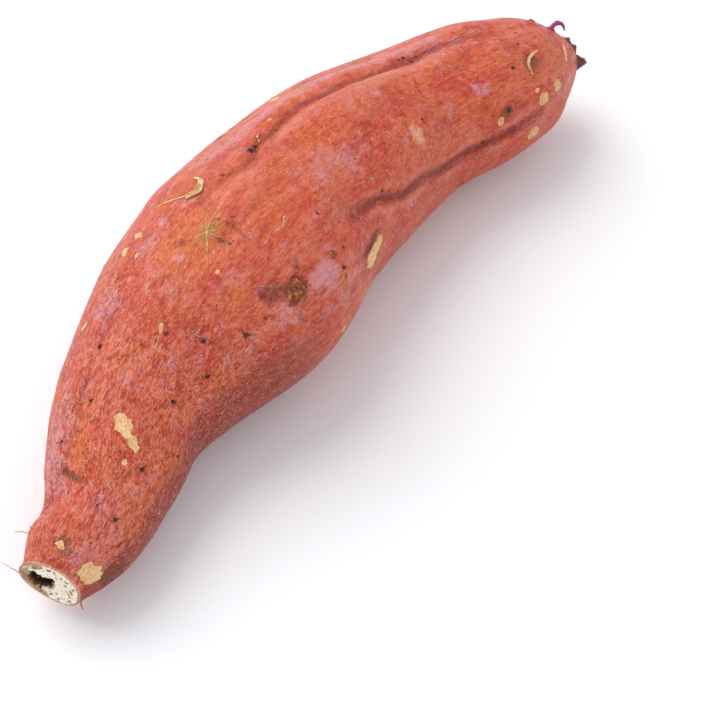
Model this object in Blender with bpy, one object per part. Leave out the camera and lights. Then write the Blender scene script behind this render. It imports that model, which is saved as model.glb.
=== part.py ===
"""A whole sweet potato at rest: one swollen root with a cut neck at -X and a blunt crown at +X.

Metres, +Z up. The root lies on the plane z = 0 on a small flat spot under its belly, and it bows
towards +Y. The origin is the middle of its bounding box, at the bottom. The shape values below are
in millimetres, and points become metres where they are made.
"""

import math

import bmesh
import bpy
from mathutils import Vector

MM = 0.001
LENGTH = 225.0  # neck to crown tip, along X
CUT_AT = -1.6  # where the middle of the cut face lies, along X

# The root's sections, neck first, as a grower would gauge them with callipers:
# distance along the root, bow towards +Y, half width, half height, gap between floor and section.
SECTIONS = (
    (CUT_AT, 1.9, 7.7, 7.3, 5.3),
    (3.0, 1.5, 10.4, 9.6, 5.0),
    (8.0, 2.0, 12.2, 11.3, 4.2),
    (17.0, 3.5, 13.2, 12.5, 3.0),
    (30.0, 9.5, 16.9, 16.0, 1.6),
    (48.0, 17.5, 20.5, 19.5, 0.4),
    (69.0, 20.0, 26.8, 25.4, -0.6),
    (92.0, 19.3, 30.8, 29.2, -1.0),
    (118.0, 23.8, 28.7, 27.2, -0.9),
    (146.0, 24.0, 26.4, 25.0, 0.0),
    (171.0, 20.7, 22.4, 21.2, 1.4),
    (195.0, 12.0, 20.8, 19.7, 3.2),
    (212.0, 7.5, 16.4, 15.5, 5.2),
    (225.0, 1.5, 11.0, 10.4, 9.5),
)
CAP_LENGTH = 18.0  # stretch over which the crown closes
CAP_ROUNDNESS = 2.1  # 2 closes as an ellipse, more is blunter
KEEL_SHIFT = 2.4  # how far the belly's lowest line hangs towards -Y, under the root's weight
CUT_TURN = math.radians(17)  # how far the cut looks round towards -Y
CUT_TURN_REACH = 9.0  # how far along the root that turn is felt

# Long grooves in the skin: depth, half width, and a path of (distance, degrees round the section),
# where 0 degrees is +Y and 90 is the top.
GROOVES = (
    (1.6, 3.2, ((88, 80), (106, 83), (126, 80), (141, 76), (156, 80), (172, 84), (198, 85))),
    (1.1, 3.2, ((106, 139), (122, 145), (137, 158), (150, 163), (164, 173), (192, 169), (212, 176))),
    (0.9, 4.0, ((14, 55), (30, 62), (44, 64), (62, 66))),
)
GROOVE_FADE = 9.0  # stretch over which a groove runs out at its ends

# Round dents, as where the neck pinches: depth, half width, distance, degrees round the section.
DENTS = (
    (1.3, 4.0, 12.5, 40),
    (0.8, 5.0, 44.0, 196),
    (0.7, 4.0, 206.0, 176),
)

# The old wound in the middle of the cut face, gone hollow.
HOLLOW_DEPTH = 2.2
HOLLOW_HALF_WIDTH = 2.6
HOLLOW_OFFSET = 1.6  # towards +Y

SIDES = 64
CUT_RINGS = 5
BODY_RINGS = 44
CAP_RINGS = 9
CAP_START = CUT_RINGS + BODY_RINGS
LAST_RING = CAP_START + CAP_RINGS

SHOOT_GAP = 0.3  # between a shoot's foot and the skin
FOOT_TILT = 0.1  # a foot's extra lift as a share of its thickness, because its ring tilts a little
SHOOT_SIDES = 2  # a curve's bevel resolution

# The shoot that arches over the crown: ring and degrees of its foot and of where it comes down.
ARCH_FOOT = (53.2, 71)
ARCH_LANDING = (55.2, 79)
ARCH_RISE = 2.4
ARCH_SPAN = 4.2
ARCH_SWEEP = math.radians(150)
ARCH_THICKNESS = 1.3
ARCH_TIP_SHARE = 0.45  # tip thickness as a share of the foot's
ARCH_POINTS = 14

# Bud scales: name, ring and degrees where each stands, length, thickness at the foot, lean.
BUDS = (
    ("bud_spike_upper", 55.2, 84, 1.8, 1.3, 0.3),
    ("bud_spike_middle", 55.9, 104, 1.6, 2.0, -0.2),
    ("bud_spike_long", 56.0, 168, 2.4, 2.6, -0.2),
)
BUD_POINTS = 7
BUD_TIP_SHARE = 0.12  # tip thickness as a share of the foot's


def section_at(distance):
    """The section's bow, half width, half height and gap at a distance, on a smooth curve."""
    last = len(SECTIONS) - 1
    row = 0
    while row < last - 1 and SECTIONS[row + 1][0] < distance:
        row += 1
    start, end = SECTIONS[row], SECTIONS[row + 1]
    before = SECTIONS[max(row - 1, 0)]
    after = SECTIONS[min(row + 2, last)]
    span = end[0] - start[0]
    t = min(max((distance - start[0]) / span, 0.0), 1.0)
    values = []
    for column in range(1, 5):
        slope_in = (end[column] - before[column]) / (end[0] - before[0])
        slope_out = (after[column] - start[column]) / (after[0] - start[0])
        values.append(
            start[column] * (1 + 2 * t) * (1 - t) ** 2
            + slope_in * span * t * (1 - t) ** 2
            + end[column] * t * t * (3 - 2 * t)
            + slope_out * span * t * t * (t - 1)
        )
    return values


def heading_at(distance):
    """The direction that the root runs in, as a turn about Z away from +X."""
    ahead = min(distance + 1.0, LENGTH)
    behind = max(distance - 1.0, CUT_AT)
    heading = math.atan2(section_at(ahead)[0] - section_at(behind)[0], ahead - behind)
    return heading + CUT_TURN * math.exp(-((distance / CUT_TURN_REACH) ** 2))


def path_degrees(path, distance):
    """The angle of a groove's path at a distance."""
    if distance <= path[0][0]:
        return path[0][1]
    for start, end in zip(path, path[1:]):
        if distance <= end[0]:
            t = (distance - start[0]) / (end[0] - start[0])
            return start[1] + (end[1] - start[1]) * t * t * (3 - 2 * t)
    return path[-1][1]


def turn_between(around, degrees):
    """The shorter turn from an angle in degrees to an angle in radians."""
    turn = around - math.radians(degrees)
    return math.atan2(math.sin(turn), math.cos(turn))


def sunk_by(distance, around, radius):
    """How far grooves and dents lie below the plain section here."""
    sunk = 0.0
    for depth, half_width, path in GROOVES:
        beyond = max(path[0][0] - distance, distance - path[-1][0], 0.0)
        off = radius * turn_between(around, path_degrees(path, distance))
        sunk += depth * math.exp(-((off / half_width) ** 2) - (beyond / GROOVE_FADE) ** 2)
    for depth, half_width, at, degrees in DENTS:
        off = radius * turn_between(around, degrees)
        sunk += depth * math.exp(-(off**2 + (distance - at) ** 2) / half_width**2)
    return sunk


def hollow_depth(side, rise):
    """How far the cut face is hollowed out here."""
    apart = math.hypot(side - HOLLOW_OFFSET, rise)
    return HOLLOW_DEPTH * math.exp(-((apart / HOLLOW_HALF_WIDTH) ** 2))


def place_at(ring):
    """Distance from the cut and share of the full section at a ring, which may be a fraction."""
    if ring <= CUT_RINGS:
        return CUT_AT, ring / CUT_RINGS
    body = LENGTH - CAP_LENGTH
    if ring <= CAP_START:
        return CUT_AT + (body - CUT_AT) * (ring - CUT_RINGS) / BODY_RINGS, 1.0
    along = math.sin(0.5 * math.pi * (ring - CAP_START) / CAP_RINGS)
    share = max(1 - along**CAP_ROUNDNESS, 0.0) ** (1 / CAP_ROUNDNESS)
    return body + CAP_LENGTH * along, share


def skin_point(ring, around):
    """The skin's point at a ring and an angle round the section (0 is +Y, a quarter turn is up)."""
    distance, share = place_at(ring)
    bow, half_width, half_height, gap = section_at(distance)
    heading = heading_at(distance)
    inwards = 0.0
    if ring < CUT_RINGS:
        inwards = hollow_depth(
            share * half_width * math.cos(around), share * half_height * math.sin(around)
        )
    else:
        share *= 1 - sunk_by(distance, around, half_width) / half_width
    side = share * (half_width * math.cos(around) - KEEL_SHIFT * max(-math.sin(around), 0.0) ** 2)
    rise = share * half_height * math.sin(around)
    x = distance - side * math.sin(heading) + inwards * math.cos(heading)
    y = bow + side * math.cos(heading) + inwards * math.sin(heading)
    z = gap + half_height + rise
    return Vector((x, y, max(z, 0.0))) * MM


def skin_normal(ring, around):
    """The outward direction at a place on the skin."""
    step = 0.05
    along = skin_point(ring + step, around) - skin_point(ring - step, around)
    across = skin_point(ring, around + step) - skin_point(ring, around - step)
    return across.cross(along).normalized()


def new_material(name, colour, roughness):
    material = bpy.data.materials.new(name)
    material.use_nodes = True
    shader = material.node_tree.nodes["Principled BSDF"]
    shader.inputs["Base Color"].default_value = (*colour, 1)
    shader.inputs["Roughness"].default_value = roughness
    shader.inputs["Metallic"].default_value = 0.0
    return material


def make_tuber():
    """The root: a sphere whose rings are laid out from the cut face to the crown's tip."""
    mesh = bmesh.new()
    bmesh.ops.create_uvsphere(mesh, u_segments=SIDES, v_segments=LAST_RING, radius=1)
    for vertex in mesh.verts:
        height = max(-1.0, min(1.0, vertex.co.z))
        ring = round(math.acos(-height) / math.pi * LAST_RING)
        vertex.co = skin_point(ring, math.atan2(vertex.co.y, vertex.co.x))
    bmesh.ops.recalc_face_normals(mesh, faces=mesh.faces)
    data = bpy.data.meshes.new("tuber")
    mesh.to_mesh(data)
    mesh.free()
    data.shade_smooth()
    data.materials.append(new_material("skin", (0.55, 0.16, 0.12), 0.55))
    return bpy.data.objects.new("tuber", data)


def make_stalk(name, points, thicknesses, material):
    """A tapering stalk along points, as a bevelled curve with filled ends."""
    curve = bpy.data.curves.new(name, "CURVE")
    curve.dimensions = "3D"
    curve.bevel_depth = 0.5 * MM
    curve.bevel_resolution = SHOOT_SIDES
    curve.use_fill_caps = True
    spline = curve.splines.new("POLY")
    spline.points.add(len(points) - 1)
    for target, point, thickness in zip(spline.points, points, thicknesses):
        target.co = (*point, 1)
        target.radius = thickness
    curve.materials.append(material)
    return bpy.data.objects.new(name, curve)


def make_arch(material):
    """The violet shoot: most of half a loop from its foot, up and over to where it comes down."""
    around = math.radians(ARCH_FOOT[1])
    up = skin_normal(ARCH_FOOT[0], around)
    skin = skin_point(ARCH_FOOT[0], around)
    over = skin_point(ARCH_LANDING[0], math.radians(ARCH_LANDING[1])) - skin
    over = (over - up * over.dot(up)).normalized()
    foot = skin + up * (SHOOT_GAP + FOOT_TILT * ARCH_THICKNESS) * MM
    points = []
    thicknesses = []
    for step in range(ARCH_POINTS):
        t = step / (ARCH_POINTS - 1)
        across = ARCH_SPAN * 0.5 * (1 - math.cos(ARCH_SWEEP * t))
        rise = ARCH_RISE * math.sin(ARCH_SWEEP * t)
        points.append(foot + (over * across + up * rise) * MM)
        thicknesses.append(ARCH_THICKNESS * (1 - (1 - ARCH_TIP_SHARE) * t))
    return make_stalk("curled_shoot", points, thicknesses, material)


def make_bud(name, ring, degrees, length, thickness, lean, material):
    """A bud scale: a short pointed spike that leans to one side."""
    around = math.radians(degrees)
    up = skin_normal(ring, around)
    foot = skin_point(ring, around) + up * (SHOOT_GAP + FOOT_TILT * thickness) * MM
    aside = up.cross(Vector((1, 0, 0))).normalized()
    points = []
    thicknesses = []
    for step in range(BUD_POINTS):
        t = step / (BUD_POINTS - 1)
        points.append(foot + (up * length * t + aside * lean * length * t * t) * MM)
        thicknesses.append(thickness * (1 - (1 - BUD_TIP_SHARE) * t))
    return make_stalk(name, points, thicknesses, material)


def centre_at_origin(objects, body):
    """Moves everything so that the middle of the body's underside is the origin in X and Y."""
    corners = [body.matrix_world @ vertex.co for vertex in body.data.vertices]
    for obj in objects:
        if obj.type == "CURVE":
            corners += [point.co.to_3d() for point in obj.data.splines[0].points]
    shift = Vector()
    for axis in (0, 1):
        values = [corner[axis] for corner in corners]
        shift[axis] = -0.5 * (min(values) + max(values))
    for obj in objects:
        obj.location = shift


def main():
    for obj in list(bpy.data.objects):
        bpy.data.objects.remove(obj)
    collection = bpy.data.collections.new("sweet_potato")
    bpy.context.scene.collection.children.link(collection)
    violet = new_material("shoot", (0.26, 0.03, 0.12), 0.5)
    maroon = new_material("bud", (0.10, 0.02, 0.03), 0.7)
    tuber = make_tuber()
    pieces = [tuber, make_arch(violet)]
    for bud in BUDS:
        pieces.append(make_bud(*bud, maroon))
    for piece in pieces:
        collection.objects.link(piece)
    centre_at_origin(pieces, tuber)


main()
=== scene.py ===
# %% [markdown]
# # A whole sweet potato
# A sweet potato is a root that has swollen with starch. This one lies on its belly: the neck, where
# it was cut from the plant, is at -X, and the blunt crown, where new shoots start, is at +X.
# The solids are already made and packed. They are the fixed frame that every piece here fits.

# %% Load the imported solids
import math
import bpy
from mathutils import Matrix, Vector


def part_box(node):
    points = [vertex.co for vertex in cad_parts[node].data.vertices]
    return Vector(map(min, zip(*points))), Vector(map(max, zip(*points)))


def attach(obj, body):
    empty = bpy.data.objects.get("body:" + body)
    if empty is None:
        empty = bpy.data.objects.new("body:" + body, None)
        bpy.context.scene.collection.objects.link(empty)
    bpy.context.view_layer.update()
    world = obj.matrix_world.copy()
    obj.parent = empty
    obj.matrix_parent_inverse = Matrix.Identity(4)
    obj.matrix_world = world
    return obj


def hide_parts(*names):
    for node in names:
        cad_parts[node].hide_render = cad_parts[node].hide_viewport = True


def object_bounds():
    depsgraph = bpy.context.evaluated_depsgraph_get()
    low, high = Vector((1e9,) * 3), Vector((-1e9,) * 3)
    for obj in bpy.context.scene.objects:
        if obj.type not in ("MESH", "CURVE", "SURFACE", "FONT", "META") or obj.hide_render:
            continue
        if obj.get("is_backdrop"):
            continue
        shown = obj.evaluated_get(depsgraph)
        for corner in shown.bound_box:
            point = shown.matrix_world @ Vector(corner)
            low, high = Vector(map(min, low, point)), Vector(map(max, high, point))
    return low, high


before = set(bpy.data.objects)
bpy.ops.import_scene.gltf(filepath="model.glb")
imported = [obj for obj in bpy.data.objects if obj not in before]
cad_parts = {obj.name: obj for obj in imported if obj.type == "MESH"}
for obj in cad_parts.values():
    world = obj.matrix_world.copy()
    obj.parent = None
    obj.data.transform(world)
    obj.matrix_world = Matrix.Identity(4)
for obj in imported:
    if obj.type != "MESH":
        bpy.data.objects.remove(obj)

from types import SimpleNamespace

import bmesh
import bpy
import numpy as np
from mathutils import Vector, noise
from mathutils.bvhtree import BVHTree

MM = 0.001
cad_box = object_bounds()
print("solids:", sorted(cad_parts))
print("size in mm:", [round((b - a) / MM, 1) for a, b in zip(*cad_box)])

# %% [markdown]
# ## The skin's surface
# The solid root is right in size but made of facets some millimetres wide. A fine skin could come
# from subdividing it, but then its faces would follow the facets. Rays are better: they go out from
# the root's middle line and feel where the solid is. That gives an even grid, in which a place on the
# skin is a distance along the root and an angle round it, so wrinkles and scars are easy to place.


# %% Join the solid's loose triangles
def joined_copy(node):
    """A node's mesh as a bmesh with its loose triangles joined."""
    mesh = bmesh.new()
    mesh.from_mesh(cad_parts[node].data)
    bmesh.ops.remove_doubles(mesh, verts=mesh.verts, dist=1e-6)
    mesh.normal_update()
    return mesh


root_solid = joined_copy("tuber")
root_tree = BVHTree.FromBMesh(root_solid)
root_points = np.array([vertex.co for vertex in root_solid.verts])
root_low, root_high = root_points.min(axis=0), root_points.max(axis=0)
print("root solid:", len(root_solid.verts), "points")

# %% Find the cut at the neck
NECK_REACH = 9 * MM
FLAT_MATCHES = (0.9, 0.97, 0.995)  # how nearly a face must look the cut's way, in ever closer tries


def middle_along(points, direction):
    """Half way between the lowest and highest of the points along a direction."""
    reach = points @ np.array(direction)
    return 0.5 * (reach.min() + reach.max())


neck_end = root_low[0] + NECK_REACH
neck_faces = [face for face in root_solid.faces if face.calc_center_median().x < neck_end]
cut_normal = Vector((-1, 0, 0))
for match in FLAT_MATCHES:
    flat_faces = [face for face in neck_faces if face.normal.dot(cut_normal) > match]
    cut_normal = sum((face.normal * face.calc_area() for face in flat_faces), Vector()).normalized()
cut_side = Vector((0, 0, 1)).cross(-cut_normal).normalized()
cut_up = (-cut_normal).cross(cut_side)
flat_points = np.array([vertex.co for face in flat_faces for vertex in face.verts])
cut_level = float(np.median(flat_points @ np.array(cut_normal)))
cut_centre = (
    cut_normal * cut_level
    + cut_side * middle_along(flat_points, cut_side)
    + cut_up * middle_along(flat_points, cut_up)
)
print("cut: centre", [round(v / MM, 1) for v in cut_centre], "looks", [round(v, 2) for v in cut_normal])

# %% Draw the root's middle line
SLICE_STEP, SLICE_HALF = 4 * MM, 3.2 * MM
SLICES_FROM, SLICES_TO = 14 * MM, 10 * MM  # how far from the root's ends the slices start and stop
FAN_BACK = 17 * MM  # the rays of the crown fan out from this far behind its tip
LINE_DEGREE = 8
CUT_WEIGHT = 6.0  # how much more than a slice the cut's centre draws the line


def middle_of_slice(x):
    """The middle of the solid's points within a thin slice across X."""
    inside = root_points[np.abs(root_points[:, 0] - x) < SLICE_HALF]
    return 0.5 * (inside[:, 1:].min(axis=0) + inside[:, 1:].max(axis=0))


slice_x = np.arange(root_low[0] + SLICES_FROM, root_high[0] - SLICES_TO, SLICE_STEP)
line_x = np.concatenate([[cut_centre.x], slice_x])
line_yz = np.array([(cut_centre.y, cut_centre.z), *(middle_of_slice(x) for x in slice_x)])
line_weight = np.concatenate([[CUT_WEIGHT], np.ones(len(slice_x))])
line_y, line_z = (
    np.polynomial.Polynomial.fit(line_x, line_yz[:, k], LINE_DEGREE, w=line_weight) for k in (0, 1)
)
dense_x = np.linspace(cut_centre.x, root_high[0] - FAN_BACK, 600)
dense_line = np.stack([dense_x, line_y(dense_x), line_z(dense_x)], axis=1)
dense_steps = np.linalg.norm(np.diff(dense_line, axis=0), axis=1)
dense_length = np.concatenate([[0.0], np.cumsum(dense_steps)])
BODY_LENGTH = float(dense_length[-1])
print("middle line:", round(BODY_LENGTH / MM, 1), "mm")

# %% Place the rings and their rays
SIDES = 216
RING_STEP = 0.56 * MM
CROWN_REACH = FAN_BACK * math.pi / 2
TURN_REACH = 12 * MM  # the rings turn from the cut's plane to square across the root over this
SEAM_ANGLE = -0.5 * math.pi  # the seam of the grid runs along the underside


def smooth_step(low, high, value):
    """0 below low, 1 above high, and a soft step between."""
    t = np.clip((np.asarray(value, float) - low) / (high - low), 0.0, 1.0)
    return t * t * (3 - 2 * t)


def unit(vectors):
    """Vectors scaled to length 1."""
    return vectors / np.linalg.norm(vectors, axis=-1, keepdims=True)


def circle(sides):
    """Even angles once round."""
    return np.arange(sides) * 2 * math.pi / sides


def on_line(values, reach):
    """A list of vectors kept along the middle line, read at some distances."""
    return np.stack([np.interp(reach, dense_length, values[:, k]) for k in range(3)], axis=1)


body_along = np.linspace(0, BODY_LENGTH, round(BODY_LENGTH / RING_STEP), endpoint=False)
crown_along = np.linspace(BODY_LENGTH, BODY_LENGTH + CROWN_REACH, round(CROWN_REACH / RING_STEP) + 1)
ring_along = np.concatenate([body_along, crown_along])
ring_fan = np.clip((ring_along - BODY_LENGTH) / CROWN_REACH, 0, 1) * math.pi / 2
ring_base = np.minimum(ring_along, BODY_LENGTH)
ring_origin = on_line(dense_line, ring_base)
line_gradient = np.stack([np.gradient(dense_line[:, k]) for k in range(3)], axis=1)
ring_ahead = unit(on_line(line_gradient, ring_base))
turned = smooth_step(0, TURN_REACH, ring_base)[:, None]
ring_ahead = unit(ring_ahead * turned - np.array(cut_normal) * (1 - turned))
ring_side = unit(np.cross([0, 0, 1], ring_ahead))
ring_up = np.cross(ring_ahead, ring_side)
angles = SEAM_ANGLE + circle(SIDES)
out = (
    ring_side[:, None] * np.cos(angles)[None, :, None] + ring_up[:, None] * np.sin(angles)[None, :, None]
)
fan = ring_fan[:, None, None]
directions = out * np.cos(fan) + ring_ahead[:, None] * np.sin(fan)
print("rings:", len(ring_along), "sides:", SIDES)

# %% Feel the solid with rays
HOLLOW_REACH = 6 * MM  # up to here rays come from outside, because the cut face is hollow
OUTSIDE, JUST_INSIDE = 20 * MM, 0.05 * MM

radius = np.empty(directions.shape[:2])
for ring in range(len(ring_along)):
    origin = Vector(ring_origin[ring] + ring_ahead[ring] * (JUST_INSIDE if ring == 0 else 0))
    for side in range(SIDES):
        way = Vector(directions[ring, side])
        if ring_along[ring] < HOLLOW_REACH:
            radius[ring, side] = OUTSIDE - root_tree.ray_cast(origin + way * OUTSIDE, -way)[3]
        else:
            radius[ring, side] = root_tree.ray_cast(origin, way)[3]
print("radius in mm:", (radius.min() / MM).round(1), "to", (radius.max() / MM).round(1))


# %% Smooth the facets away
def blurred(field, rings, sides):
    """A grid blurred along the root and round it, by widths in grid steps."""
    for axis, width in ((0, rings), (1, sides)):
        reach = int(math.ceil(3 * width))
        weights = np.exp(-0.5 * (np.arange(-reach, reach + 1) / width) ** 2)
        weights /= weights.sum()
        pad = [(0, 0), (0, 0)]
        pad[axis] = (reach, reach)
        padded = np.pad(field, pad, mode="reflect" if axis == 0 else "wrap")
        length = field.shape[axis]
        field = sum(w * np.take(padded, range(k, k + length), axis=axis) for k, w in enumerate(weights))
    return field


FACET_BLUR = (3.0, 2.4)  # grid steps along and round
felt = radius
radius = blurred(felt, *FACET_BLUR)
radius = radius + blurred(felt - radius, *FACET_BLUR)  # gives back what smoothing shrank
radius[-1] = radius[-1].mean()
skin_points = ring_origin[:, None] + directions * radius[:, :, None]
print("thickest:", round(2 * radius.max() / MM, 1), "mm")

# %% [markdown]
# ## Where things are on the skin
# Every wrinkle, pit and scar is placed by a distance along the root and an angle round it, where 90
# degrees is the top and 180 is the side towards -Y. Two helpers measure the way from a place, or from
# a line through several places, to every point of the grid in millimetres.

# %% Measure along and round the skin
ALONG = ring_along[:, None] / MM
DEGREES = np.degrees(angles)[None, :]
GIRTH = np.maximum(radius * np.cos(ring_fan)[:, None] / MM, 0.05)  # mm from the middle line
EVERYWHERE = ALONG + 0 * GIRTH  # the distance along at every point of the grid
straight = np.stack(  # the root as if it were straight, in mm: what noise and materials read
    [
        ring_base[:, None] / MM + radius * np.sin(ring_fan)[:, None] / MM,
        GIRTH * np.cos(angles)[None, :],
        GIRTH * np.sin(angles)[None, :],
    ],
    axis=-1,
)


def turn_between(start, degrees):
    """The way round from a start, in degrees from -180 to 180."""
    return (degrees - start + 180) % 360 - 180


def girth_at(along):
    """The mean distance from the middle line to the skin, in mm, at a distance along."""
    return np.interp(along, ring_along / MM, GIRTH.mean(axis=1))


def way_from(along, degrees, tilt=0.0):
    """Distances lengthwise and crosswise from a place, in mm, turned by tilt degrees."""
    u = EVERYWHERE - along
    v = np.radians(turn_between(degrees, DEGREES)) * GIRTH
    c, s = math.cos(math.radians(tilt)), math.sin(math.radians(tilt))
    return u * c + v * s, v * c - u * s


def way_to_trail(places):
    """The distance in mm to a line through places, and the share of the line passed by there."""
    nearest = np.full(GIRTH.shape, 1e3)
    passed = np.zeros(GIRTH.shape)
    for index, (start, end) in enumerate(zip(places[:-1], places[1:])):
        u, v = way_from(*start)
        ahead = end[0] - start[0]
        across = np.radians(turn_between(start[1], end[1])) * GIRTH
        t = np.clip((u * ahead + v * across) / (ahead**2 + across**2 + 1e-9), 0, 1)
        gap = np.hypot(u - t * ahead, v - t * across)
        closer = gap < nearest
        nearest = np.where(closer, gap, nearest)
        passed = np.where(closer, (index + t) / (len(places) - 1), passed)
    return nearest, passed


def cloud(size_along, size_round, seed, octaves=2):
    """Smooth noise, about -1 to 1, whose lumps have these sizes in mm along and round the root."""
    scaled = straight / np.array([size_along, size_round, size_round]) + seed * 17.3
    values = [noise.fractal(Vector(p), 1.0, 2.0, octaves) for p in scaled.reshape(-1, 3)]
    return np.array(values).reshape(GIRTH.shape)


RAGGED = cloud(1.7, 1.3, 3)  # what frays the edges of scars
WANDER = cloud(9, 7, 4)  # what makes long lines stray


def blob(along, degrees, half_along, half_round, tilt=0.0, ragged=0.35, soft=0.35):
    """1 within an oval with frayed edges and 0 outside it."""
    u, v = way_from(along, degrees, tilt)
    far = np.hypot(u / half_along, v / half_round) + ragged * RAGGED
    return 1 - smooth_step(1 - soft, 1 + soft, far)


def line(places, half_width, ragged=0.3):
    """1 on a line through places, falling softly to 0 beside it; it thins out at its ends."""
    gap, passed = way_to_trail(places)
    fade = np.sqrt(np.clip(np.sin(np.pi * np.clip(passed, 0.06, 0.94)), 0, 1))
    return np.exp(-((gap / (0.42 + half_width)) ** 2)) * fade * (1 - ragged * smooth_step(0, 1, RAGGED))


def band(places, half_width):
    """1 on a line through places, falling softly to 0 beside it, as strong at its ends."""
    return np.exp(-((way_to_trail(places)[0] / half_width) ** 2))


print("grid points:", GIRTH.size)

# %% [markdown]
# ## The form of the skin
# A sweet potato swells unevenly. Long furrows form where growth lags, and shallow waves and
# lengthwise wrinkles lie between them. All of this is real relief here, moved along the skin's
# normal, because a bump texture alone would leave the outline smooth.

# %% Waves, lumps and wrinkles
NECK_END, NECK_FADE = 78.0, 30  # mm; where the neck's strong lengthwise grain fades out

neckness = 1 - smooth_step(NECK_END - NECK_FADE, NECK_END + NECK_FADE, EVERYWHERE)
height = 0.42 * cloud(36, 15, 11) + 0.20 * cloud(12, 7, 12) + 0.05 * cloud(3.4, 2.2, 13)
height += (0.05 + 0.10 * neckness) * cloud(13, 1.9, 14)
height += 0.035 * RAGGED
height *= 1 - 0.8 * smooth_step(0.2, 1.2, ring_fan)[:, None]  # the crown is plump and even

# %% Furrows and creases
# Each trail: places of (mm along, degrees round).
MAIN_FURROW = (
    (95.5, 76), (103, 77), (110, 80), (120, 74), (128, 74), (140.5, 74), (149.5, 80), (164.5, 82),
    (177.5, 80), (191, 79), (203, 86),
)
LOWER_CREASE = (
    (119, 146), (129.5, 152), (140.5, 162), (154.5, 163), (170.5, 171), (187, 175), (207, 171),
)
NECK_VALLEY = ((14, 12), (18, 22), (24, 48), (31.5, 65), (42.5, 63), (57.5, 63), (68.5, 62))
CROWN_DIP = ((202, 112), (211, 108), (218, 112))
BACK_SWELL = ((131.5, 90), (153.5, 95), (183.5, 95))


def furrow(places, depth, half_width, lip):
    """A furrow that wanders a little, with a low swollen lip: its relief, and 1 along its floor."""
    gap, passed = way_to_trail(places)
    ends = smooth_step(0, 0.12, passed) * (1 - smooth_step(0.88, 1, passed))
    gap = gap + 0.5 * WANDER
    floor = np.exp(-((gap / half_width) ** 2))
    cut = depth * (1 + 0.5 * WANDER) * floor
    swell = lip * np.exp(-(((gap - 2.6 * half_width) / (1.4 * half_width)) ** 2))
    return (swell - cut) * ends, floor * ends


main_form, main_floor = furrow(MAIN_FURROW, 0.30, 1.5, 0.30)
crease_form, crease_floor = furrow(LOWER_CREASE, 0.34, 1.0, 0.22)
valley_form, valley_floor = furrow(NECK_VALLEY, 0.35, 1.8, 0.12)
dip_form, _ = furrow(CROWN_DIP, 0.2, 2.6, 0.1)
height += main_form + crease_form + valley_form + dip_form
height += 0.5 * band(BACK_SWELL, 5)
furrow_floor = np.clip(main_floor + crease_floor + 0.7 * valley_floor, 0, 1)
print("relief so far in mm:", height.min().round(2), "to", height.max().round(2))

# %% [markdown]
# ## Scars and blemishes
# The skin is only a thin cork layer. Where it was scraped it dries straw-yellow; where an insect or
# a stone pitted it the cork turns brown to black; where it was rubbed it is pale lilac. Each mark
# changes both the relief and a mask that the material reads, so the colour sits on the form.

# %% Marks that the material reads
marks = {
    name: np.zeros(GIRTH.shape)
    for name in ("straw", "dark", "brown", "lilac", "orange", "deep", "grain", "olive", "cream")
}


def mark(name, mask, lift=0.0):
    """Adds a mark to one mask and raises or sinks the skin under it, in mm."""
    global height
    marks[name] = np.maximum(marks[name], mask)
    height = height + lift * mask


# Scraped places: along, degrees, half lengths in mm, tilt, raggedness.
mark("straw", blob(38.5, 111, 3.5, 2.2, -28, 0.5), -0.16)
mark("straw", blob(34.5, 122, 2.7, 1.3, -40, 0.5), -0.12)
mark("straw", blob(5, 157, 2.6, 3.0, 10, 0.4), -0.28)
mark("straw", blob(28.5, 121, 0.9, 0.7, 0, 0.5), -0.08)
mark("straw", blob(6.3, 88, 0.9, 1.3, 20, 0.5), 0.05)
mark("brown", 0.7 * blob(6.8, 90, 2.2, 3.2, 20, 0.5, 0.6), -0.05)
mark("brown", line(((26.2, 51), (25.6, 56), (23.5, 73.3), (21.8, 94)), 0.75, 0.8), -0.16)
mark("dark", 0.45 * line(((26.6, 50), (26, 56), (24.2, 66)), 0.4, 0.9))
mark("straw", 0.95 * line(((113.5, 172), (120, 174), (128, 171.5)), 2.3, 0.5), -0.10)
mark("dark", 0.60 * line(((114, 165.5), (120, 167), (126, 164.5)), 0.5, 0.9), -0.22)
mark("brown", 0.95 * line(((112.5, 166.5), (120, 168), (128.5, 165.5)), 1.9, 0.5), -0.05)
mark("brown", blob(8.5, -175, 3.4, 3.8, 0, 0.7, 0.6), 0.10)
print({name: int((mask > 0.5).sum()) for name, mask in marks.items()})

# %% Halos and hollows of the crown
# Each breathing pore there has swollen into a corky oval, and the skin round it is bruised.
PORE_HALO = 0.7  # mm of bruised skin round an oval
for along, degrees, half_along, half_round, tilt in (
    (214.4, 160, 1.7, 1.5, 20), (208.3, 162, 1.8, 1.7, 25), (204.4, -173, 1.9, 2.3, 0),
    (193.6, 160.5, 0.9, 1.5, 10), (206.6, 152, 1.0, 0.8, 0),
):
    oval = blob(along, degrees, half_along + PORE_HALO, half_round + PORE_HALO, tilt, 0.35, 0.5)
    mark("brown", 0.48 * oval, -0.08)
mark("dark", 0.38 * blob(196.5, 154.5, 1.4, 1.6, 0, 0.5, 0.8), -0.35)
mark("brown", 0.8 * blob(195.8, 156, 2.2, 2.6, 0, 0.4, 0.6))
mark("brown", 0.82 * blob(208.6, 131.5, 3.6, 3.4, 30, 0.2, 0.8), -0.22)
mark("dark", 0.30 * blob(209, 131, 1.6, 2.6, 30, 0.3, 0.9))
mark("brown", 0.6 * blob(225.4, 146, 2.0, 2.6, 0, 0.3, 0.6), -0.12)
mark("orange", blob(201, 118, 1.6, 1.4, 0, 0.6, 0.6))
mark("orange", blob(195, 113, 1.4, 1.2, 0, 0.6, 0.6))
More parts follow.
